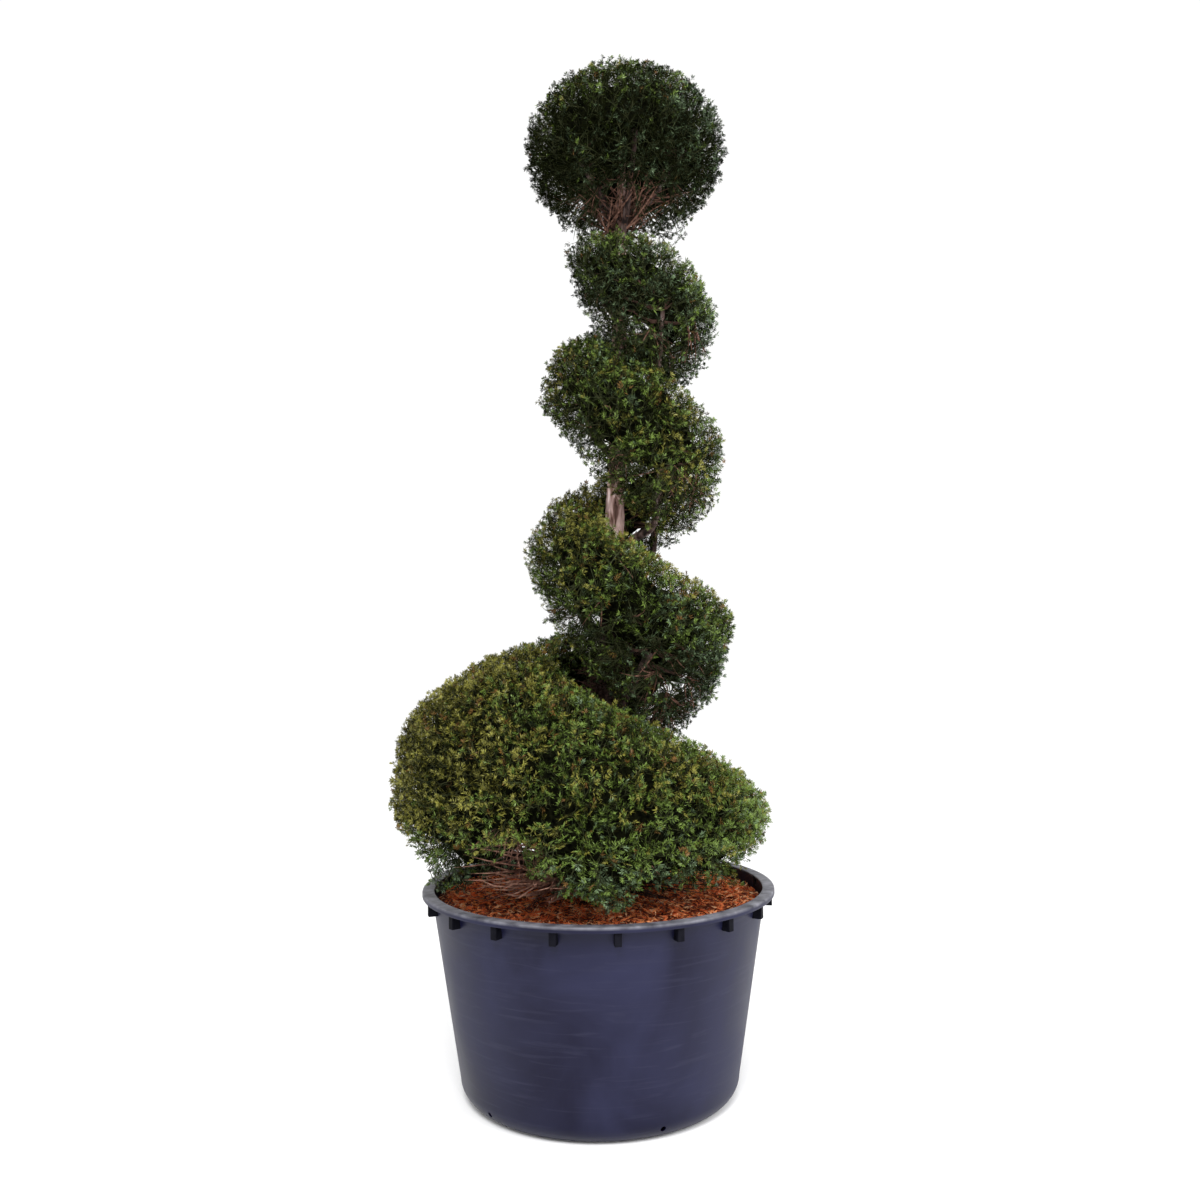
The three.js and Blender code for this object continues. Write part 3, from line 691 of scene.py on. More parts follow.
def rounded_corner(corner, radius, start):
    """A quarter round inside a corner, from this angle on, counter-clockwise."""
    centre = (corner[0] - radius * (math.cos(start) + math.cos(start + TAU / 4)),
              corner[1] - radius * (math.sin(start) + math.sin(start + TAU / 4)))
    return [(centre[0] + radius * math.cos(start + angle), centre[1] + radius * math.sin(start + angle))
            for angle in np.radians((0, 30, 60, 90))]


def pot_profile():
    under_lip = POT_HEIGHT - LIP_THICKNESS
    skirt_inner = RIM_RADIUS - SKIRT_THICKNESS
    inner_rim = (RIM_RADIUS - LIP_WIDTH, POT_HEIGHT)
    return [
        (0, 0), *foot_arc(0), (wall_radius(under_lip) - 0.001, under_lip - 0.004),
        (SHOULDER_RADIUS + 0.003, under_lip), (skirt_inner - 0.002, under_lip),
        (skirt_inner, under_lip - 0.002), (skirt_inner, POT_HEIGHT - SKIRT_DEPTH),
        (RIM_RADIUS - 0.0006, POT_HEIGHT - SKIRT_DEPTH), (RIM_RADIUS, POT_HEIGHT - SKIRT_DEPTH + 0.001),
        *rounded_corner((RIM_RADIUS, POT_HEIGHT), 0.0045, 0),
        *rounded_corner(inner_rim, 0.003, TAU / 4),
        (wall_radius(under_lip) - WALL, POT_HEIGHT - 0.012),
        *reversed(foot_arc(WALL)), (0, WALL),
    ]


def make_tabs():
    """The short upright ribs under the rim."""
    inner = SHOULDER_RADIUS - 0.008
    top = POT_HEIGHT - LIP_THICKNESS / 2
    deselect_all()
    bpy.ops.mesh.primitive_cube_add(size=1, location=(0, -(TAB_REACH + inner) / 2, (top + TAB_BOTTOM) / 2),
                                    scale=(TAB_WIDTH, TAB_REACH - inner, top - TAB_BOTTOM))
    tab = bpy.context.active_object
    apply_place(tab)
    apply_modifier(tab, "BEVEL", width=0.0012, segments=2)
    tabs = copies_round(tab, TAB_COUNT, TAB_FIRST)
    tabs.name = tabs.data.name = "pot_tabs"
    return tabs


def make_hole_cutter():
    deselect_all()
    bpy.ops.mesh.primitive_cylinder_add(vertices=16, radius=HOLE_RADIUS, depth=0.06,
                                        location=(0, -(FOOT_RADIUS - 0.020), HOLE_HEIGHT),
                                        rotation=(TAU / 4, 0, 0))
    cutter = bpy.context.active_object
    apply_place(cutter)
    return copies_round(cutter, HOLE_COUNT, HOLE_FIRST)


def make_pot():
    pot = spun_piece("nursery_pot", pot_profile(), POT_STEPS)
    cutter = make_hole_cutter()
    apply_modifier(pot, "BOOLEAN", operation="DIFFERENCE", object=cutter, solver="EXACT")
    bpy.data.objects.remove(cutter)
    tabs = make_tabs()
    # Painted shade: the tabs' plastic is near black, as they stand in the shadow under the lip.
    tab_painted_shade = mottled_material("tab_plastic_painted_shade", (0.002, 0.002, 0.004), (0.006, 0.006, 0.010), 30, 0.6,
                            specular=0.05)
    for piece, plastic in ((pot, pot_material()), (tabs, tab_painted_shade)):
        piece.data.materials.clear()
        piece.data.materials.append(plastic)
        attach(piece, BODY)
    select_only(pot)
    bpy.ops.object.shade_smooth_by_angle(angle=math.radians(35))
    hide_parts("pot")


def soil_height(radius):
    """The height of the mulch at a distance from the pot's axis."""
    return SOIL_TOP - SOIL_DIP * np.clip(radius / SHOULDER_RADIUS, 0, 1) ** 2


def make_mulch(materials):
    edge = wall_radius(SOIL_TOP) - WALL - SOIL_CLEAR
    rings = np.linspace(0, edge, 60)
    top = [(radius, float(soil_height(radius)) - 0.004) for radius in rings]
    under = [(wall_radius(height) - WALL - SOIL_CLEAR, height) for height in (0.30, FOOT_ROUNDING + 0.02)]
    under += [(wall_radius(FOOT_ROUNDING) - FOOT_ROUNDING, WALL + 0.001), (0, WALL + 0.001)]
    ground = spun_piece("mulch_bed", [*top, *under], 120)
    clods = bpy.data.textures.new("clods", "CLOUDS")
    clods.noise_scale = 0.02
    above = ground.vertex_groups.new(name="top")
    above.add([v.index for v in ground.data.vertices if v.co.z > SOIL_TOP - 0.03
               and math.hypot(v.co.x, v.co.y) < edge - 0.004], 1.0, "REPLACE")
    apply_modifier(ground, "DISPLACE", texture=clods, texture_coords="LOCAL", strength=0.012,
                   mid_level=0.5, vertex_group="top", direction="Z")
    ground.data.materials.append(materials[0])
    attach(ground, BODY)
    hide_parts("soil")


def make_chips(materials):
    """Shredded bark: slivers with four faces, lying every way on the bed."""
    random = np.random.default_rng(31)
    edge = wall_radius(SOIL_TOP) - WALL - SOIL_CLEAR - 0.008
    radius = edge * np.sqrt(random.random(CHIP_COUNT))
    azimuth = random.uniform(0, TAU, CHIP_COUNT)
    height = soil_height(radius) + random.uniform(-0.007, 0.006, CHIP_COUNT)
    place = round_point(radius, azimuth, height)
    heading = random.uniform(0, TAU, CHIP_COUNT)
    tilt = random.normal(0, 0.28, CHIP_COUNT)
    along = round_point(np.cos(tilt), heading, np.sin(tilt))
    side = unit(np.cross(along, random.normal(0, 0.5, (CHIP_COUNT, 3)) + (0, 0, 1)))
    other = np.cross(along, side)
    length = random.uniform(*CHIP_LENGTH, CHIP_COUNT)[:, None]
    width = random.uniform(*CHIP_WIDTH, CHIP_COUNT)[:, None]
    corners = np.stack([place - along * length / 2, place + along * length / 2,
                        place + side * width / 2 - other * width * 0.2,
                        place - side * width / 2 + other * width * 0.2], axis=1)
    limit = edge / np.maximum(np.linalg.norm(corners[..., :2], axis=-1, keepdims=True), edge)
    corners[..., :2] *= limit
    faces = np.array([(0, 2, 3), (1, 3, 2), (0, 1, 2), (0, 3, 1)])
    faces = (faces[None] + 4 * np.arange(CHIP_COUNT)[:, None, None]).reshape(-1, 3)
    tints = np.repeat(random.choice(4, CHIP_COUNT, p=(0.20, 0.36, 0.29, 0.15)), 4)
    chips = array_piece("mulch_chips", corners.reshape(-1, 3), faces, materials, tints)
    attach(chips, BODY)


# ---------------------------------------------------------------- trunk and boughs


def bough_line(start_height, entry, end):
    """A bough's rows: in the trunk's middle, at its bend, under the mass and inside the mass."""
    start = at_height(TRUNK_POINTS, start_height)
    bend = start + (entry - start) * 0.5
    bend[2] = start[2] + (entry[2] - start[2]) * 0.42
    return np.array([start, bend, entry, end])


def mass_bough(name):
    turn = sum(MASSES[name]) / 2
    entry = band_point(np.array(turn), np.array(BOUGH_ENTRY_ANGLE), BOUGH_ENTRY_INSET)
    start_height = max(entry[2] - BOUGH_DROP, BOUGH_LOWEST)
    root = BOUGH_ROOTS[0] + (BOUGH_ROOTS[1] - BOUGH_ROOTS[0]) * turn / 3.5
    return bough_line(start_height, entry, band_middle(np.array(turn))), root, root * BOUGH_TAPER


def ball_bough(i):
    azimuth = -TAU / 4 + TAU * (i + 0.12) / BALL_BOUGHS
    reach = BALL_SPREAD * BALL_RADIUS
    heading = round_point(1, azimuth, 0)
    middle = BALL_CENTRE * (1, 1, 0)
    entry = middle + heading * 0.62 * reach + (0, 0, BALL_HOLLOW - 0.025)
    end = middle + heading * reach + (0, 0, BALL_HOLLOW + 0.070)
    height = BALL_BOUGH_FROM + BALL_BOUGH_STEP * ((2 * i) % BALL_BOUGHS)
    return bough_line(height, entry, end), BALL_BOUGH_ROOT, BALL_BOUGH_TIP


def bark_limb(name, points, radii, roundness, relief, grain):
    """A limb along a line, with flaking bark raised on it."""
    deselect_all()
    bpy.ops.curve.primitive_bezier_curve_add()
    limb = bpy.context.active_object
    limb.location = (0, 0, 0)
    limb.name = name
    limb.data.splines.clear()
    spline = limb.data.splines.new("POLY")
    spline.points.add(len(points) - 1)
    spline.points.foreach_set("co", np.hstack([points, np.ones((len(points), 1))]).ravel())
    spline.points.foreach_set("radius", radii)
    limb.data.dimensions = "3D"
    limb.data.bevel_depth = 1.0
    limb.data.bevel_resolution = roundness
    limb.data.use_fill_caps = True
    bpy.ops.object.convert(target="MESH")
    limb = bpy.context.active_object
    limb.data.name = name
    bpy.ops.object.mode_set(mode="EDIT")
    close_seams(1e-6)
    ridges = bpy.data.textures.new(f"{name}_ridges", "CLOUDS")
    ridges.noise_scale = 0.011
    ridges.noise_depth = 3
    apply_modifier(limb, "DISPLACE", texture=ridges, texture_coords="OBJECT", texture_coords_object=grain,
                   strength=relief, mid_level=0.55)
    return limb


def make_limbs():
    """The trunk and every bough, in place of the plain solids."""
    trunk_bark, bough_bark = bark_material("flaking_bark", 1.6), bark_material("bough_bark", 0.42)
    grain = bpy.data.objects.new("bark_grain", None)
    grain.scale = (1, 1, 4.5)
    bpy.context.scene.collection.objects.link(grain)
    bpy.context.view_layer.update()
    at = np.linspace(0, 1, 260)
    pieces = {"trunk": bark_limb("trunk_bark", smooth_line(TRUNK_LINE, at, centripetal=True),
                                 trunk_radius(at), 12, BARK_RELIEF * 2, grain)}
    boughs = {name: mass_bough(name) for name in MASSES}
    boughs.update({f"ball_{i + 1}": ball_bough(i) for i in range(BALL_BOUGHS)})
    for name, (rows, root, tip) in boughs.items():
        at = np.linspace(0, 1, 70)
        pieces[f"bough_{name}"] = bark_limb(f"bark_{name}", smooth_line(rows, at), root + (tip - root) * at,
                                            4, root * 0.16, grain)
    bpy.data.objects.remove(grain)
    for node, piece in pieces.items():
        piece.data.materials.clear()
        piece.data.materials.append(trunk_bark if node == "trunk" else bough_bark)
        piece.data.shade_smooth()
        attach(piece, BODY)
        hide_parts(node)
    return {name: smooth_line(rows, np.linspace(0.40, 1, 10)) for name, (rows, _, _) in boughs.items()}


# ---------------------------------------------------------------- foliage


def nearest(points, targets):
    """The number of the nearest target to each point."""
    found = np.empty(len(points), int)
    for start in range(0, len(points), 4000):
        part = points[start:start + 4000]
        found[start:start + 4000] = np.argmin(
            np.linalg.norm(part[:, None] - targets[None], axis=-1), axis=1)
    return found


def bent(starts, middles, ends, stations):
    """Lines of points that leave start, pass by middle and reach end."""
    t = np.linspace(0, 1, stations)[None, :, None]
    return ((1 - t) ** 2 * starts[:, None] + 2 * t * (1 - t) * middles[:, None] + t**2 * ends[:, None])


def is_base(name):
    return MASSES[name][0] >= BASE_START


def to_the_right(turn):
    """1 on the right of the plant, and 0 on the left."""
    return np.exp(-((turn % 1 - RIGHT_TURN) / RIGHT_WIDTH) ** 2)


def hollow(turn):
    """1 where the base is hollow underneath."""
    begins = eased(turn, HOLLOW_FROM, HOLLOW_FROM + HOLLOW_EDGE)
    return begins * eased(-turn, -HOLLOW_UNTIL, HOLLOW_EDGE - HOLLOW_UNTIL)


def openness(name, u, v):
    """How open a mass is at a place: 0 where it is dense, 1 where bare twigs and sky show."""
    if name == "ball":
        lower_in_front = 0.16 * np.clip(-np.sin(u), 0, 1)
        return eased(v, math.radians(122) + lower_in_front, math.radians(136) + lower_in_front)
    below = -np.sin(v)
    if is_base(name):
        open_below = np.maximum(eased(below, 0.80, 0.96), hollow(u) * eased(below, 0.40, 0.62))
        return open_below * (1 - 0.7 * np.clip(hanging(u) / 0.06, 0, 1))
    return eased(below, 0.1, 0.7) * (0.15 + 0.85 * to_the_right(u))


def hanging(turn):
    """How deep the underside of the base hangs at a turn."""
    return sum(depth * np.exp(-((turn - middle) / width) ** 2) for middle, width, depth in HANGING)


def droop(name, u, v):
    """How deep the sprays hang at a place, which they do underneath in front."""
    if name == "ball":
        tails = sum(depth * np.exp(-((u - azimuth) / TAIL_WIDTH) ** 2) for azimuth, depth in BALL_TAILS)
        return tails * eased(v, math.radians(126), math.radians(142))
    below = -np.sin(v)
    if is_base(name):
        return hanging(u) * eased(below, 0.7, 0.97) * (np.cos(v) > -0.5)
    in_front = np.clip(np.sin(TAU * (u - 0.02)), 0, 1)
    return TIER_DROOP * in_front * eased(below, 0.4, 0.9)


def ball_share(u, v):
    """The share of the ball's sprays at a place: few where the boughs fan out in front, many in the tails."""
    front = eased(-np.sin(u), 0.35, 0.75)
    low = front * eased(v, math.radians(95), math.radians(110))
    tail = droop("ball", u, v)
    bare = openness("ball", u, v) * (0.25 + 0.60 * front) * np.clip(1 - tail / 0.04, 0.1, 1)
    return (1.15 + 0.35 * low) * (1 - bare) + 12 * tail


def kept_share(name, u, v):
    """The share of the sprays that grow at a place: fewer underneath and where the trunk hides them."""
    if name == "ball":
        return ball_share(u, v)
    bare = openness(name, u, v)
    hidden = 1 - (0 if name == "base_front_left" else 0.5) * np.clip((-np.cos(v) - 0.7) / 0.25, 0, 1)
    if is_base(name):
        return hidden * (1 - (0.85 + 0.12 * hollow(u)) * bare) * (1 + 25 * droop(name, u, v))
    return 1.08 * hidden * (1 - (0.15 * u + 0.2) * bare)


def grow_branches(surface, boughs, random):
    """Branches from the stem along the mass, and from those out towards the surface. Returns their lines
    and the ends that twigs grow from."""
    count = BALL_BRANCHES if surface.point is ball_point else BRANCHES
    u, v = surface.sites(BRANCH_SITES_PER_SQUARE_METRE)
    pick = random.choice(len(u), count, replace=False)
    u, v = u[pick], v[pick]
    depth = random.uniform(0.45, 0.62, count)[:, None]
    ends = surface.middle(u) * depth + surface.point(u, v, FRINGE) * (1 - depth)
    starts = boughs[nearest(ends, boughs)]
    middles = starts * 0.5 + ends * 0.5 + random.normal(0, 0.010, ends.shape) - (0, 0, 0.012)
    return bent(starts, middles, ends, 6), ends


def grow_sprays(surface, name, ends, random):
    """The twigs' lines, from the branches' ends to the clipped surface, with where each one leaves the
    surface's inside and how open the foliage is there."""
    u, v = surface.sites(SPRAYS_PER_SQUARE_METRE, lambda u, v: kept_share(name, u, v))
    clumps = patches(surface.point(u, v, FRINGE), CLUMP_SIZE, 21)
    inset = SPRAY_INSET - CLUMP_DEPTH * clumps + random.uniform(-0.003, 0.003, len(u))
    tips = surface.point(u, v, inset)
    tips[:, 2] -= droop(name, u, v) * random.uniform(0.3, 1.2, len(u))
    normals = surface.normal(u, v)
    lean = random.uniform(0.15, 0.85, len(u))[:, None]
    stray = unit(np.cross(random.normal(size=normals.shape), normals))
    back = unit(normals * np.cos(lean) + stray * np.sin(lean) + (0, 0, 0.18))
    inner = tips - back * random.uniform(0.050, 0.080, len(u))[:, None]
    starts = ends[nearest(inner, ends)]
    lines = np.concatenate([bent(starts, starts * 0.35 + inner * 0.65 - (0, 0, 0.010), inner, 3),
                            ((inner + tips) / 2 + random.normal(0, 0.003, tips.shape))[:, None],
                            tips[:, None]], axis=1)
    return lines, tips, normals, openness(name, u, v), clumps


def grow_bare_twigs(surface, name, ends, random):
    """Twigs that have lost their needles, in the open parts."""
    density = BARE_TWIGS_PER_SQUARE_METRE * (BALL_BARE_SHARE if name == "ball" else 1)
    u, v = surface.sites(density, lambda u, v: openness(name, u, v) + 0.02)
    tips = surface.point(u, v, random.uniform(0.012, 0.060, len(u)))
    starts = ends[nearest(tips + random.normal(0, 0.03, tips.shape), ends)]
    near = np.linalg.norm(tips - starts, axis=-1) < BARE_TWIG_REACH
    middles = (starts + tips) / 2 + random.normal(0, 0.012, tips.shape)
    return bent(starts[near], middles[near], tips[near], 4)


def grow_low_stems(random):
    """Bare stems that leave the trunk's foot low over the mulch and rise into the hollow of the base."""
    turn = random.uniform(HOLLOW_FROM + 0.02, HOLLOW_UNTIL + 0.01, LOW_STEMS)
    tips = band_point(turn, random.uniform(-0.42, -0.18, LOW_STEMS) * math.pi, 0.035)
    tips[:, 2] -= random.uniform(-0.03, 0.09, LOW_STEMS)
    azimuth = math.pi + TAU * turn + random.normal(0, 0.7, LOW_STEMS)
    starts = round_point(0.050, azimuth, random.uniform(*LOW_STEM_HEIGHTS, LOW_STEMS))
    middles = starts * 0.35 + tips * 0.65 + random.normal(0, 0.055, tips.shape)
    middles[:, 2] = np.maximum(LOW_STEM_HEIGHTS[0], tips[:, 2] - random.uniform(0.0, 0.10, LOW_STEMS))
    return bent(starts, middles, tips, 7)


def grow_brushwood(random):
    """Dead dark twigs crowded round the trunk's foot, close over the mulch; their darkness also stands in for
    the shade under the base, as painted shade.
    """
    azimuth = random.uniform(0, TAU, BRUSHWOOD)
    heading = round_point(1, azimuth, 0)
    starts = heading * 0.045 + np.array((0, 0, 1)) * random.uniform(0.530, 0.680, (BRUSHWOOD, 1))
    tips = heading * random.uniform(*BRUSHWOOD_REACH, (BRUSHWOOD, 1))
    tips[:, 2] = random.uniform(MULCH_TOP, BRUSHWOOD_TOP, BRUSHWOOD)
    middles = (starts + tips) / 2 + random.normal(0, 0.025, tips.shape)
    middles[:, 2] = np.maximum(middles[:, 2], MULCH_TOP)
    return bent(starts, middles, tips, 5)


def grow_trunk_twigs(name, random):
    """Short dead twigs round the trunk, at the heights of the mass; their dark bark also stands in for the
    shade round the trunk, as painted shade.
    """
    if name == "ball":
        start, end = 0, 1
        bottom, top = BALL_STEM
    else:
        start, end = MASSES[name]
        _, bottom, top = spiral_at(np.array((start + end) / 2))
    count = int(TRUNK_TWIGS_PER_METRE * (top - bottom))
    starts = at_height(TRUNK_POINTS, random.uniform(bottom, top, count))
    azimuth = math.pi + TAU * random.uniform(start, end, count)
    outwards = round_point(1, azimuth, random.normal(0.1, 0.5, count))
    tips = starts + unit(outwards) * random.uniform(0.05, 0.11, count)[:, None]
    return bent(starts, (starts + tips) / 2 + random.normal(0, 0.012, tips.shape), tips, 4)


def grow_ball_fan(bough_points, random):
    """The long fine twigs that fan out under the ball from round the trunk's top."""
    count = BALL_FAN_TWIGS
    tips = ball_point(random.uniform(0, TAU, count), np.radians(random.uniform(118, 152, count)),
                      random.uniform(0.040, 0.110, count))
    starts = bough_points[random.integers(0, len(bough_points), count)]
    starts = starts * (0.35, 0.35, 1) + np.array((0.080, 0, 0)) * (0.65, 0.65, 0)
    starts[:, 2] = random.uniform(2.31, 2.42, count)
    middles = starts * 0.45 + tips * 0.55 + random.normal(0, 0.009, tips.shape) + (0, 0, 0.006)
    return bent(starts, middles, tips, 5)


def grow_shoots(lines, tips, normals, open_share, random):
    """Shoots in two ranks along the outer part of each twig, clipped at the surface."""
    count = len(lines)
    at = np.linspace(0.12, 1.0, SHOOTS)[None] * random.uniform(0.9, 1.0, (count, SHOOTS))
    outer = lines[:, 2:5]
    place = np.clip(at * 2, 0, 1.999)
    index = place.astype(int)
    part = (place - index)[..., None]
    rows = np.arange(count)[:, None]
    roots = outer[rows, index] * (1 - part) + outer[rows, index + 1] * part
    along = unit(outer[:, 2] - outer[:, 0])[:, None]
    side = unit(np.cross(along, normals[:, None] + random.normal(0, 0.35, (count, 1, 3))))
    ranks = np.where(np.arange(SHOOTS) % 2, 1.0, -1.0)[None, :, None]
    angle = random.uniform(*SHOOT_ANGLES, (count, SHOOTS, 1))
    angle[:, -1] = 0.1
    direction = unit(along * np.cos(angle) + side * ranks * np.sin(angle)
                     + random.normal(0, 0.16, (count, SHOOTS, 3)) + (0, 0, 0.10))
    length = random.uniform(*SHOOT_LENGTH, (count, SHOOTS))
    offset = np.sum((roots - tips[:, None]) * normals[:, None], axis=-1)
    rise = np.sum(direction * normals[:, None], axis=-1)
    clip = random.uniform(-0.007, 0.002, (count, SHOOTS))
    room = np.where(rise > 0.05, (clip - offset) / np.maximum(rise, 0.05), 1)
    length = np.clip(np.minimum(length, room), SHOOT_SHORTEST, None)
    ends = roots + direction * length[..., None]
    keep = random.random((count, SHOOTS)) > 0.35 * open_share[:, None]
    depth = -np.sum((ends - tips[:, None]) * normals[:, None], axis=-1)
    spray = np.broadcast_to(rows, (count, SHOOTS))
    sides = np.broadcast_to(side, (count, SHOOTS, 3))
    return {"root": roots[keep], "end": ends[keep], "side": sides[keep], "depth": depth[keep],
            "spray": spray[keep], "open": open_share[spray[keep]], "normal": normals[spray[keep]]}


def grow_needles(shoots, random):
    """Needles in two ranks along each shoot: folded kites of two triangles."""
    count = len(shoots["root"])
    axis = shoots["end"] - shoots["root"]
    length = np.linalg.norm(axis, axis=-1)[:, None, None]
    along = unit(axis)[:, None]
    across = unit(np.cross(along[:, 0], np.cross(shoots["side"], along[:, 0]) +
                           random.normal(0, 0.35, (count, 3))))[:, None]
    at = (np.arange(NEEDLES) + random.uniform(0.1, 0.9, (count, NEEDLES))) / NEEDLES
    first = 0.30 + 0.25 * shoots["open"][:, None]
    at = (first + (1 - first) * at)[..., None]
    ranks = np.where(np.arange(NEEDLES) % 2, 1.0, -1.0)[None, :, None]
    spread = (1.15 - 0.75 * at**2) * random.uniform(0.8, 1.15, at.shape)
    turned = random.normal(0, 0.4, at.shape)
    sideways = across * ranks * np.cos(turned) + np.cross(along, across) * np.sin(turned)
    heading = unit(along * np.cos(spread) + sideways * np.sin(spread)
                   + random.normal(0, 0.15, (count, NEEDLES, 3)))
    root = shoots["root"][:, None] + along * length * at
    size = NEEDLE_LENGTH * random.uniform(0.65, 1.1, at.shape) * (1 - 0.35 * at**2)
    outwards = np.sum(heading * shoots["normal"][:, None], axis=-1, keepdims=True)
    size = size * (1 - 0.30 * np.clip(outwards, 0, 1))
    width = unit(np.cross(heading, np.cross(along, across) + random.normal(0, 0.5, (count, NEEDLES, 3))))
    fold = np.cross(width, heading)
    half = NEEDLE_WIDTH / 2 * random.uniform(0.8, 1.15, at.shape)
    middle = root + heading * size * 0.42 + fold * half * 0.45
    points = np.stack([root, middle + width * half, root + heading * size, middle - width * half], axis=2)
    faces = np.array([(0, 1, 2), (0, 2, 3)])
    faces = (faces[None] + 4 * np.arange(count * NEEDLES)[:, None, None]).reshape(-1, 3)
    return points.reshape(-1, 3), faces, at[..., 0]


def weighed(weights, values):
    return sum(weight * values[name] for name, weight in weights.items())


def deal_tints(shoots, places, clumps, tips, normals, random):
    """The colour of every needle: by how deep its shoot lies, which way it faces, how high it grows, by
    luck and in patches. Depth, facing and height paint light and shade into it; luck and patches give its own
    tone. Needles nearer the shoot's root are darker, as painted shade."""
    spray = shoots["spray"]
    count = len(spray)
    place, facing = tips[spray], normals[spray]
    upwards = np.clip(facing[:, 2], -1, 1)
    values = {
        "spray": random.random(len(tips))[spray] - 0.5,
        "shoot": random.random(count) - 0.5,
        "upwards": upwards,
        "right": facing[:, 0],
        "sideways": np.abs(facing[:, 0]),
        "depth": shoots["depth"],
        "clump": clumps[spray],
        "patch": patches(place, 0.05, 3),
        "broad": patches(place, 0.22, 8),
        "lower": np.clip((2.75 - place[:, 2]) / 1.9, 0, 1),
        "ball": eased(place[:, 2], 2.25, 2.35),
        "low_growth": eased(-place[:, 2], -0.95, -0.70),
        "dip_painted_light": np.exp(-((place[:, 2] - 1.33) / 0.12) ** 2),
        "hue": random.random(count) - 0.5,
    }
    light = LIGHT_START + weighed(LIGHT_WEIGHTS, values)
    green, blue_green, olive, rust = range(len(NEEDLE_HUES))
    steps = np.digitize(HUE_START + weighed(HUE_WEIGHTS, values), HUE_STEPS)
    hue = np.array([blue_green, green, olive])[steps]
    rusty = random.random(count) < RUST_SHARE + RUST_SHARE_ABOVE * (upwards > 0.3)
    hue[rusty & (light > LIGHT_STEPS[0])] = rust
    stray = random.normal(0, NEEDLE_STRAY, places.shape)
    needle_light = light[:, None] - ROOT_SHADE * (1 - places) + stray
    level = np.digitize(needle_light, LIGHT_STEPS)
    level = np.where(hue[:, None] == rust, np.minimum(level, 3), level)
    tint = np.where(level > 0, hue[:, None] * len(NEEDLE_LEVELS) + level, 0)
    return np.repeat(tint.ravel(), 2)


def shade_points(surface, name):
    """The points of a mass's dark shape, in a grid along it and round it."""
    if name == "ball":
        u, v = np.meshgrid(np.linspace(*surface.first, 28), np.linspace(0.02, 1, 14), indexing="ij")
        v = v * np.radians(BALL_SHADE_FRONT + BALL_SHADE_BACK * np.clip(np.sin(u), 0, 1))
        outer = surface.point(u, v, SHADE_INSET)
        fold = (outer[:, -1:] + ball_middle(u[:, :1])) / 2 + (0, 0, 0.05)
        return np.concatenate([outer, fold], axis=1)
    along = max(6, int((surface.first[1] - surface.first[0]) * 40))
    u, v = np.meshgrid(np.linspace(*surface.first, along), np.linspace(-math.pi, math.pi, 16), indexing="ij")
    outer = surface.point(u, v, SHADE_INSET)
    low = np.sin(v) < 0
    if is_base(name):
        outer[..., 2] -= np.where(low, SHADE_HANG - SHADE_LIFT * hollow(u), 0) * np.abs(np.sin(v))
        return outer
    _, bottom, top = spiral_at(u)
    middle = surface.middle(u)
    middle[..., 2] += 0.10 * (top - bottom)
    below = SHADE_BELOW * (1 - 0.85 * to_the_right(u))
    return middle + (outer - middle) * np.where(low, below, SHADE_ABOVE)[..., None]


def make_shade(surface, name, material):
    """The dark heart of a dense mass, a smaller copy of it that the sprays stand out of."""
    outer = shade_points(surface, name)
    outer = outer + SHADE_LUMPS * patches(outer, SHADE_LUMP_SIZE, 4)[..., None]
    points = outer.reshape(-1, 3)
    index = np.arange(len(points)).reshape(outer.shape[:2])
    a, b, c, d = index[:-1, :-1], index[1:, :-1], index[1:, 1:], index[:-1, 1:]
    faces = [np.stack([a, b, c], -1).reshape(-1, 3), np.stack([a, c, d], -1).reshape(-1, 3)]
    rings = index.T if name == "ball" else index
    for ring in (rings[0], rings[-1, ::-1]):
        hub = np.full(len(ring) - 1, len(points))
        points = np.vstack([points, points[ring].mean(0)])
        faces.append(np.stack([ring[:-1], ring[1:], hub], -1))
    piece = array_piece(f"shade_{name}", points, np.concatenate(faces), [material], smooth=True)
    select_only(piece)
    bpy.ops.object.mode_set(mode="EDIT")
    close_seams(1e-4)
    return piece


def make_twigs(name, wood, materials):
    """A mass's wood, given as (kind, lines), as one mesh."""
    parts = [tubes(lines, *WOOD[kind][1:]) for kind, lines in wood]
    tints = np.repeat([WOOD[kind][0] for kind, _ in wood], [len(faces) for _, faces in parts])
    return array_piece(f"twigs_{name}", *joined(parts), materials, tints)


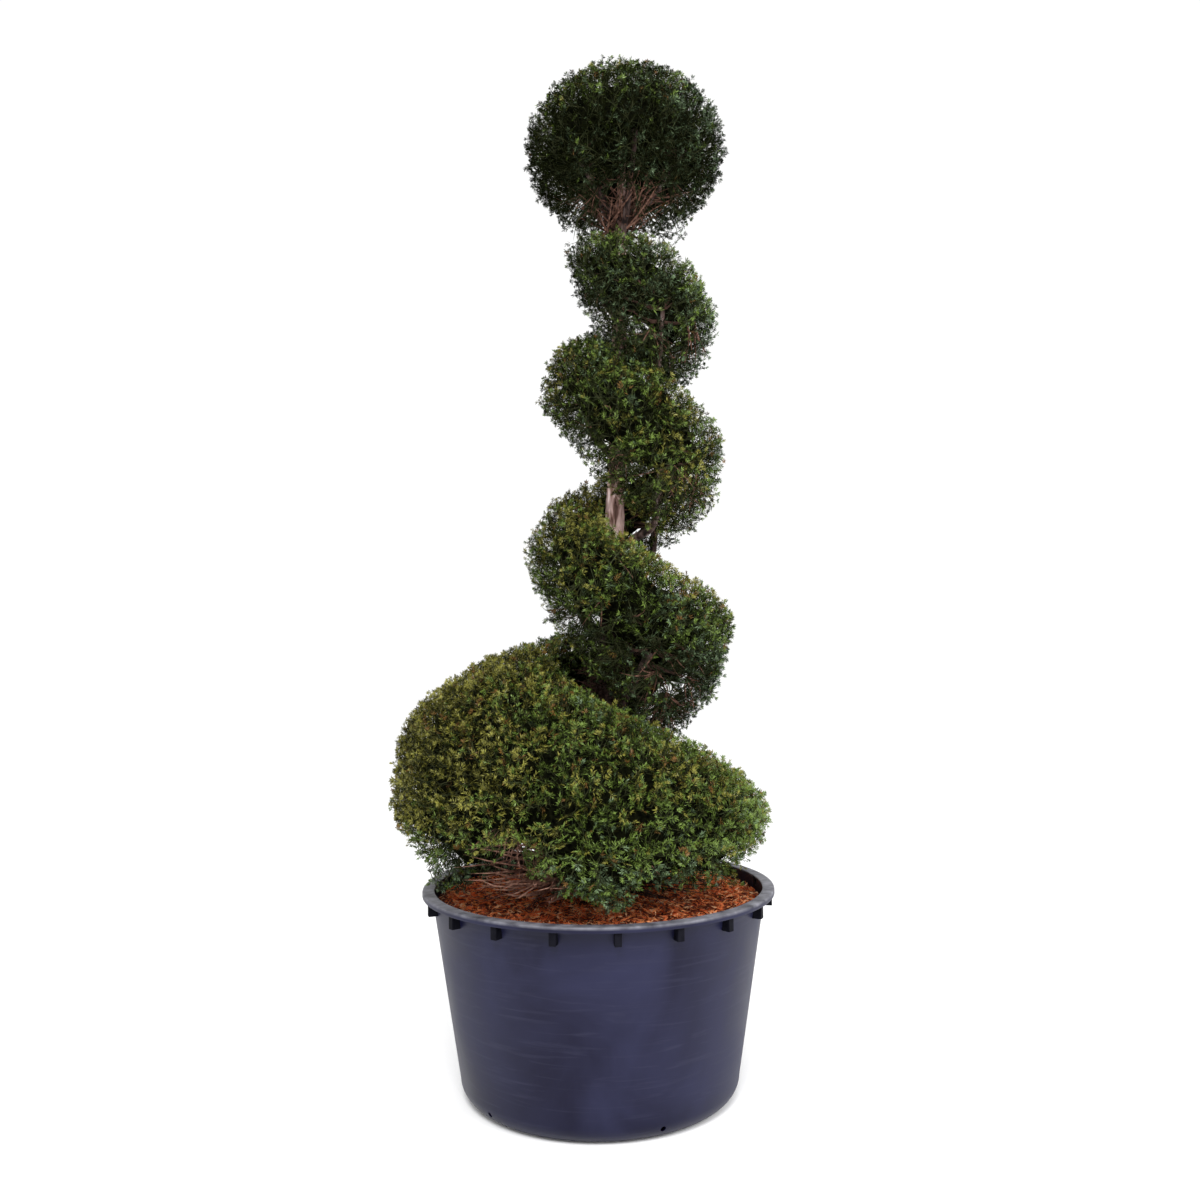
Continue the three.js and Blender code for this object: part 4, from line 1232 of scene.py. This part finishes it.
def make_mass(name, surface, bough_ends, materials):
    """Grows one mass from its bough: its branches, sprays, shoots and needles, and its leafless twigs."""
    needles, twigs, shade = materials
    random = surface.random
    branches, ends = grow_branches(surface, bough_ends, random)
    lines, tips, normals, open_share, clumps = grow_sprays(surface, name, ends, random)
    bare = [("bare", grow_bare_twigs(surface, name, ends, random))]
    dead, pale = [], []
    if name == "ball":
        bare.append(("bare", grow_ball_fan(bough_ends, random)))
    elif name == "base_front_left":
        # The low stems take the pale bark, which is painted light.
        pale.append(("pale", grow_low_stems(random)))
        dead.append(("dead", grow_brushwood(random)))
    if name in TRUNK_TWIG_MASSES:
        dead.append(("dead", grow_trunk_twigs(name, random)))
    shoots = grow_shoots(lines, tips, normals, open_share, random)
    points, faces, places = grow_needles(shoots, random)
    tints = deal_tints(shoots, places, clumps, tips, normals, random)
    foliage = array_piece(f"needles_{name}", points, faces, needles, tints)
    stems = np.stack([shoots["root"], shoots["end"]], axis=1)
    wood = [("branch", branches), ("spray", lines), *dead, *bare, *pale, ("shoot", stems)]
    wood_piece = make_twigs(name, wood, twigs)
    shade_piece = make_shade(surface, name, shade)
    for piece, slot in ((foliage, "yew_foliage"), (wood_piece, "yew_bark"), (shade_piece, "yew_foliage")):
        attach(piece, BODY)
        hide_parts(f"foliage_{name}")


def make_foliage(bough_ends):
    materials = needle_materials(), twig_materials(), shade_material()
    for name, surface in mass_surfaces().items():
        if name == "ball":
            ends = np.vstack([bough_ends[f"ball_{i + 1}"] for i in range(BALL_BOUGHS)])
        else:
            ends = bough_ends[name]
        make_mass(name, surface, ends, materials)


# ---------------------------------------------------------------- stage

CAMERA_PLACE = Vector((0, -3.0, 1.187))
CAMERA_YAW, CAMERA_PITCH, CAMERA_ROLL = 0.0039, 0.0393, 0.0097
CAMERA_LENS, CAMERA_SENSOR = 33, 36


def make_camera():
    forward = Vector((math.sin(CAMERA_YAW) * math.cos(CAMERA_PITCH),
                      math.cos(CAMERA_YAW) * math.cos(CAMERA_PITCH), math.sin(CAMERA_PITCH)))
    right = forward.cross(Vector((0, 0, 1))).normalized()
    up = right.cross(forward)
    cosine, sine = math.cos(CAMERA_ROLL), math.sin(CAMERA_ROLL)
    tilted_right = right * cosine - up * sine
    tilted_up = up * cosine + right * sine
    data = bpy.data.cameras.new("front_camera")
    data.lens, data.sensor_width = CAMERA_LENS, CAMERA_SENSOR
    camera = bpy.data.objects.new("front_camera", data)
    turned = Matrix((tilted_right, tilted_up, -forward)).transposed().to_4x4()
    camera.matrix_world = Matrix.Translation(CAMERA_PLACE) @ turned
    bpy.context.scene.collection.objects.link(camera)
    bpy.context.scene.camera = camera


def area_light(name, place, target, size, power):
    data = bpy.data.lights.new(name, "AREA")
    data.shape, data.size, data.energy = "DISK", size, power
    light = bpy.data.objects.new(name, data)
    light.location = place
    light.rotation_euler = (Vector(target) - Vector(place)).to_track_quat("-Z", "Y").to_euler()
    bpy.context.scene.collection.objects.link(light)


def make_stage():
    deselect_all()
    bpy.ops.mesh.primitive_plane_add(size=60, location=(0, 0, 0))
    floor = bpy.context.active_object
    floor.name = "floor"
    material, tree, shader = new_material("pale_floor", 0.9, 0.0)
    tone = colour_steps(tree, object_pattern(tree, 0.6), [(0.3, (0.99, 0.99, 0.99)), (0.7, (1, 1, 1))])
    tree.links.new(tone, shader.inputs["Base Color"])
    floor.data.materials.append(material)
    world = bpy.data.worlds.new("soft_studio")
    world.use_nodes = True
    world.node_tree.nodes["Background"].inputs["Color"].default_value = (1, 1, 1, 1)
    world.node_tree.nodes["Background"].inputs["Strength"].default_value = 1.03
    bpy.context.scene.world = world
    area_light("soft_key", (-0.5, -3.8, 4.3), (0, 0, 1.2), 2.2, 200)
    area_light("soft_fill", (3.2, -2.8, 2.8), (0, 0, 1.0), 2.5, 115)
    bpy.context.scene.view_settings.view_transform = "Standard"


# ---------------------------------------------------------------- the whole

make_camera()
make_stage()
make_pot()
mulch = mulch_materials()
make_mulch(mulch)
make_chips(mulch)
make_foliage(make_limbs())
